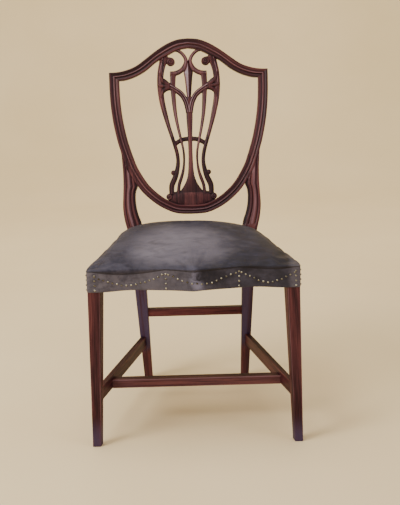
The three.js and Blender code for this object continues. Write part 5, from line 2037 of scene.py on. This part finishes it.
def makeSeatPad(under):  # stuffing under calico, inside the leather and clear of the posts
    look = seat
    deep, wide = seatGrid
    work = bpy.data.meshes.new("padWork")
    work.from_pydata(toMetres(under).tolist(), [], skin(seatGrid, False, False))
    normals = readVectors(work.vertices, "normal")
    normals *= np.sign(normals[:, 2:3] + 1e-9)
    bpy.data.meshes.remove(work)
    top = under - normals * (look["leather"] + look["padGap"] + np.clip(foldDepth(under), 0, None))[:, None]
    inner = sideX(top[:, 1]) - look["padInset"]
    inner = mix(inner, rearInnerX - look["padPostGap"], smoothStep(*look["padNotch"], top[:, 1]))
    widest = np.abs(top.reshape(deep, wide, 3)[:, -1, 0]).repeat(wide)
    top[:, 0] *= np.minimum(1, inner / np.maximum(widest, 1))
    rear = seatFrame["backFaceY"] - look["padInset"]
    top[:, 1] = np.clip(top[:, 1], bowAt(top[:, 0]) + look["padInset"], rear)
    top[:, 2] = np.maximum(top[:, 2], look["padBottom"] + look["padLeast"])
    below = top * [1, 1, 0] + [0, 0, look["padBottom"]]
    points, faces = closedSheet(top, below, deep, wide)
    piece = makePiece("seatPad", points, faces, calico, sharpAngle=60)
    addAttribute(piece.data, "flat", "FLOAT_VECTOR", points / 1000)
    settle(piece, "horsehair", "seat_pad")


makeSeatPad(makeLeatherCover())
print("leather cover and pad made")


# brass nails: festoons, and a column under each peak
nails = {
    "spacing": 11.6,
    "width": 5.0,
    "dome": 0.72,  # height over half width
    "proud": 0.35,  # how far the head's middle stands off the leather
    "columnTop": 430,
    "columnFoot": 393,
    "columnPitch": 11.8,
    "frontColumns": [-236, -67, 109, 245],
    "sideColumns": [7, 143, 278],
    "backColumns": [-132.89, 0, 132.89],
    "sideFrom": 150,  # those along the sides stand further out than this
    "sideReach": 411,
    "wobble": [(0.9, 0.093, 1), (0.6, 0.231, 0)],  # waves of (height, turn per millimetre, start)
    "segments": 10,
    "rings": 6,
}


def outerWall():  # finely spaced points of the leather's outer wall, and the (u, v) of each
    loop = edgeLoop()
    pairs = zip(loop, np.roll(loop, -1, axis=0))
    fine = np.vstack([mix(a, b, t) for a, b in pairs for t in (0, 0.25, 0.5, 0.75)])
    return fine, np.column_stack(planAt(fine[:, 0], fine[:, 1], seat["outset"]))


def nailLines():  # one line of (x, y, z, and the way out) per festoon and per column
    fine, wall = outerWall()
    x, y = wall.T
    run = np.roll(wall, -1, axis=0) - np.roll(wall, 1, axis=0)
    run /= np.linalg.norm(run, axis=1)[:, None]
    out = np.column_stack([run[:, 1], -run[:, 0]])
    onFront = fine[:, 1] < 1e-6
    inFront = ~onFront & (y < nails["sideReach"])
    onSides = [inFront & (x * sign > nails["sideFrom"]) for sign in (1, -1)]
    onRear = (y > swagPeaks["backFrom"]) & (np.abs(x) < swagPeaks["back"][-1])
    along = np.where(onFront, x, y)
    # driven by hand, so a little uneven
    wobble = sum(high * np.sin(turn * along + start) for high, turn, start in nails["wobble"])
    height = nails["columnTop"] - seat["nailFall"] * swagAt(x, y, onFront) + wobble
    lines = []

    def addFestoons(mask, place, peaks):
        gap = nails["spacing"] * 0.5
        for low, high in zip(peaks[:-1], peaks[1:]):
            picked = np.nonzero(mask & (place > low + gap) & (place < high - gap))[0]
            picked = picked[np.argsort(place[picked])]
            lines.append([(*wall[k], height[k], *out[k]) for k in picked])

    def addColumns(mask, place, spots):
        picked = np.nonzero(mask)[0]
        for at in spots:
            k = picked[np.argmin(np.abs(place[picked] - at))]
            z = np.arange(nails["columnTop"], nails["columnFoot"] - 1, -nails["columnPitch"])
            lines.append([(*wall[k], level, *out[k]) for level in z])

    addFestoons(onFront, x, swagPeaks["front"])
    for mask in onSides:
        addFestoons(mask, y, swagPeaks["side"])
    addFestoons(onRear, x, swagPeaks["back"])
    addColumns(onFront, x, nails["frontColumns"])
    for mask in onSides:
        addColumns(mask, y, nails["sideColumns"])
    addColumns(onRear, x, nails["backColumns"])
    return lines


def nailTree(finish):  # a dome on every step of the lines it is given, turned to face out
    tree = bpy.data.node_groups.new("nailRow", "GeometryNodeTree")
    for name, kind, way in (
        ("Lines", "NodeSocketGeometry", "INPUT"), ("Spacing", "NodeSocketFloat", "INPUT"),
        ("Width", "NodeSocketFloat", "INPUT"), ("Nails", "NodeSocketGeometry", "OUTPUT"),
    ):
        tree.interface.new_socket(name, in_out=way, socket_type=kind)
    nodes, links = tree.nodes, tree.links
    given = nodes.new("NodeGroupInput")
    line = nodes.new("GeometryNodeMeshToCurve")
    resample = nodes.new("GeometryNodeResampleCurve")
    resample.mode = "LENGTH"
    outward = nodes.new("GeometryNodeInputNamedAttribute")
    outward.data_type = "FLOAT_VECTOR"
    outward.inputs["Name"].default_value = "outward"
    align = nodes.new("FunctionNodeAlignRotationToVector")
    align.axis = "Z"
    dome = nodes.new("GeometryNodeMeshUVSphere")
    dome.inputs["Segments"].default_value = nails["segments"]
    dome.inputs["Rings"].default_value = nails["rings"]
    dome.inputs["Radius"].default_value = 0.5
    place = nodes.new("GeometryNodeInstanceOnPoints")
    size = nodes.new("ShaderNodeVectorMath")
    size.operation = "SCALE"
    size.inputs[0].default_value = (1, 1, nails["dome"])
    realize = nodes.new("GeometryNodeRealizeInstances")
    smooth = nodes.new("GeometryNodeSetShadeSmooth")
    paint = nodes.new("GeometryNodeSetMaterial")
    paint.inputs["Material"].default_value = finish
    out = nodes.new("NodeGroupOutput")
    for a, b in (
        (given.outputs["Lines"], line.inputs[0]),
        (line.outputs[0], resample.inputs["Curve"]),
        (given.outputs["Spacing"], resample.inputs["Length"]),
        (resample.outputs[0], place.inputs["Points"]),
        (dome.outputs["Mesh"], place.inputs["Instance"]),
        (outward.outputs["Attribute"], align.inputs["Vector"]),
        (align.outputs[0], place.inputs["Rotation"]),
        (given.outputs["Width"], size.inputs["Scale"]),
        (size.outputs[0], place.inputs["Scale"]),
        (place.outputs[0], realize.inputs[0]),
        (realize.outputs[0], smooth.inputs[0]),
        (smooth.outputs[0], paint.inputs["Geometry"]),
        (paint.outputs[0], out.inputs["Nails"]),
    ):
        links.new(a, b)
    return tree


def makeNails(look):
    points, edges, outward = [], [], []
    for line in nailLines():
        start = len(points)
        for x, y, z, outX, outY in line:
            points.append((x + outX * look["proud"], y + outY * look["proud"], z))
            outward.append((outX, outY, 0.0))
        edges += [(k, k + 1) for k in range(start, len(points) - 1)]
    mesh = bpy.data.meshes.new("nailLines")
    mesh.from_pydata(toMetres(points).tolist(), edges, [])
    addAttribute(mesh, "outward", "FLOAT_VECTOR", outward)
    piece = addObject("seatNails", mesh)
    tree = nailTree(brass)
    rows = piece.modifiers.new("rows", "NODES")
    rows.node_group = tree
    values = {"Spacing": look["spacing"] / 1000, "Width": look["width"] / 1000}
    for item in tree.interface.items_tree:
        if item.name in values:
            rows[item.identifier] = values[item.name]
    piece.update_tag()
    applyModifiers(piece)
    piece.data.name = "seatNails"
    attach(piece, "root")
    perNail = look["segments"] * (look["rings"] - 1) + 2
    print("  nails", len(piece.data.vertices) // perNail)


makeNails(nails)


# the frame's hidden beech, with the grain along each piece
def dressPlainWood():
    quarter = math.pi / 2
    across = makePlainWood("beechAcross", (0, quarter, 0))
    lengthwise = makePlainWood("beechLengthwise", (quarter, 0, 0))
    upright = makePlainWood("beechUpright", (0, 0, 0))
    grains = {
        "front_rail": across, "rear_rail": across, "side_rail": lengthwise, "front_rail_peg": lengthwise,
        "rear_rail_peg": lengthwise, "side_rail_front_peg": across, "side_rail_rear_peg": across,
        "front_corner_block": upright, "rear_corner_block": upright, "crest_dowel": upright,
    }
    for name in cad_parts:
        finish = grains.get(name.removesuffix("_right").removesuffix("_left"))
        if finish is not None:
            for slot in bpy.data.objects[name].material_slots:
                slot.material = finish


dressPlainWood()
print("nails and beech dressed")
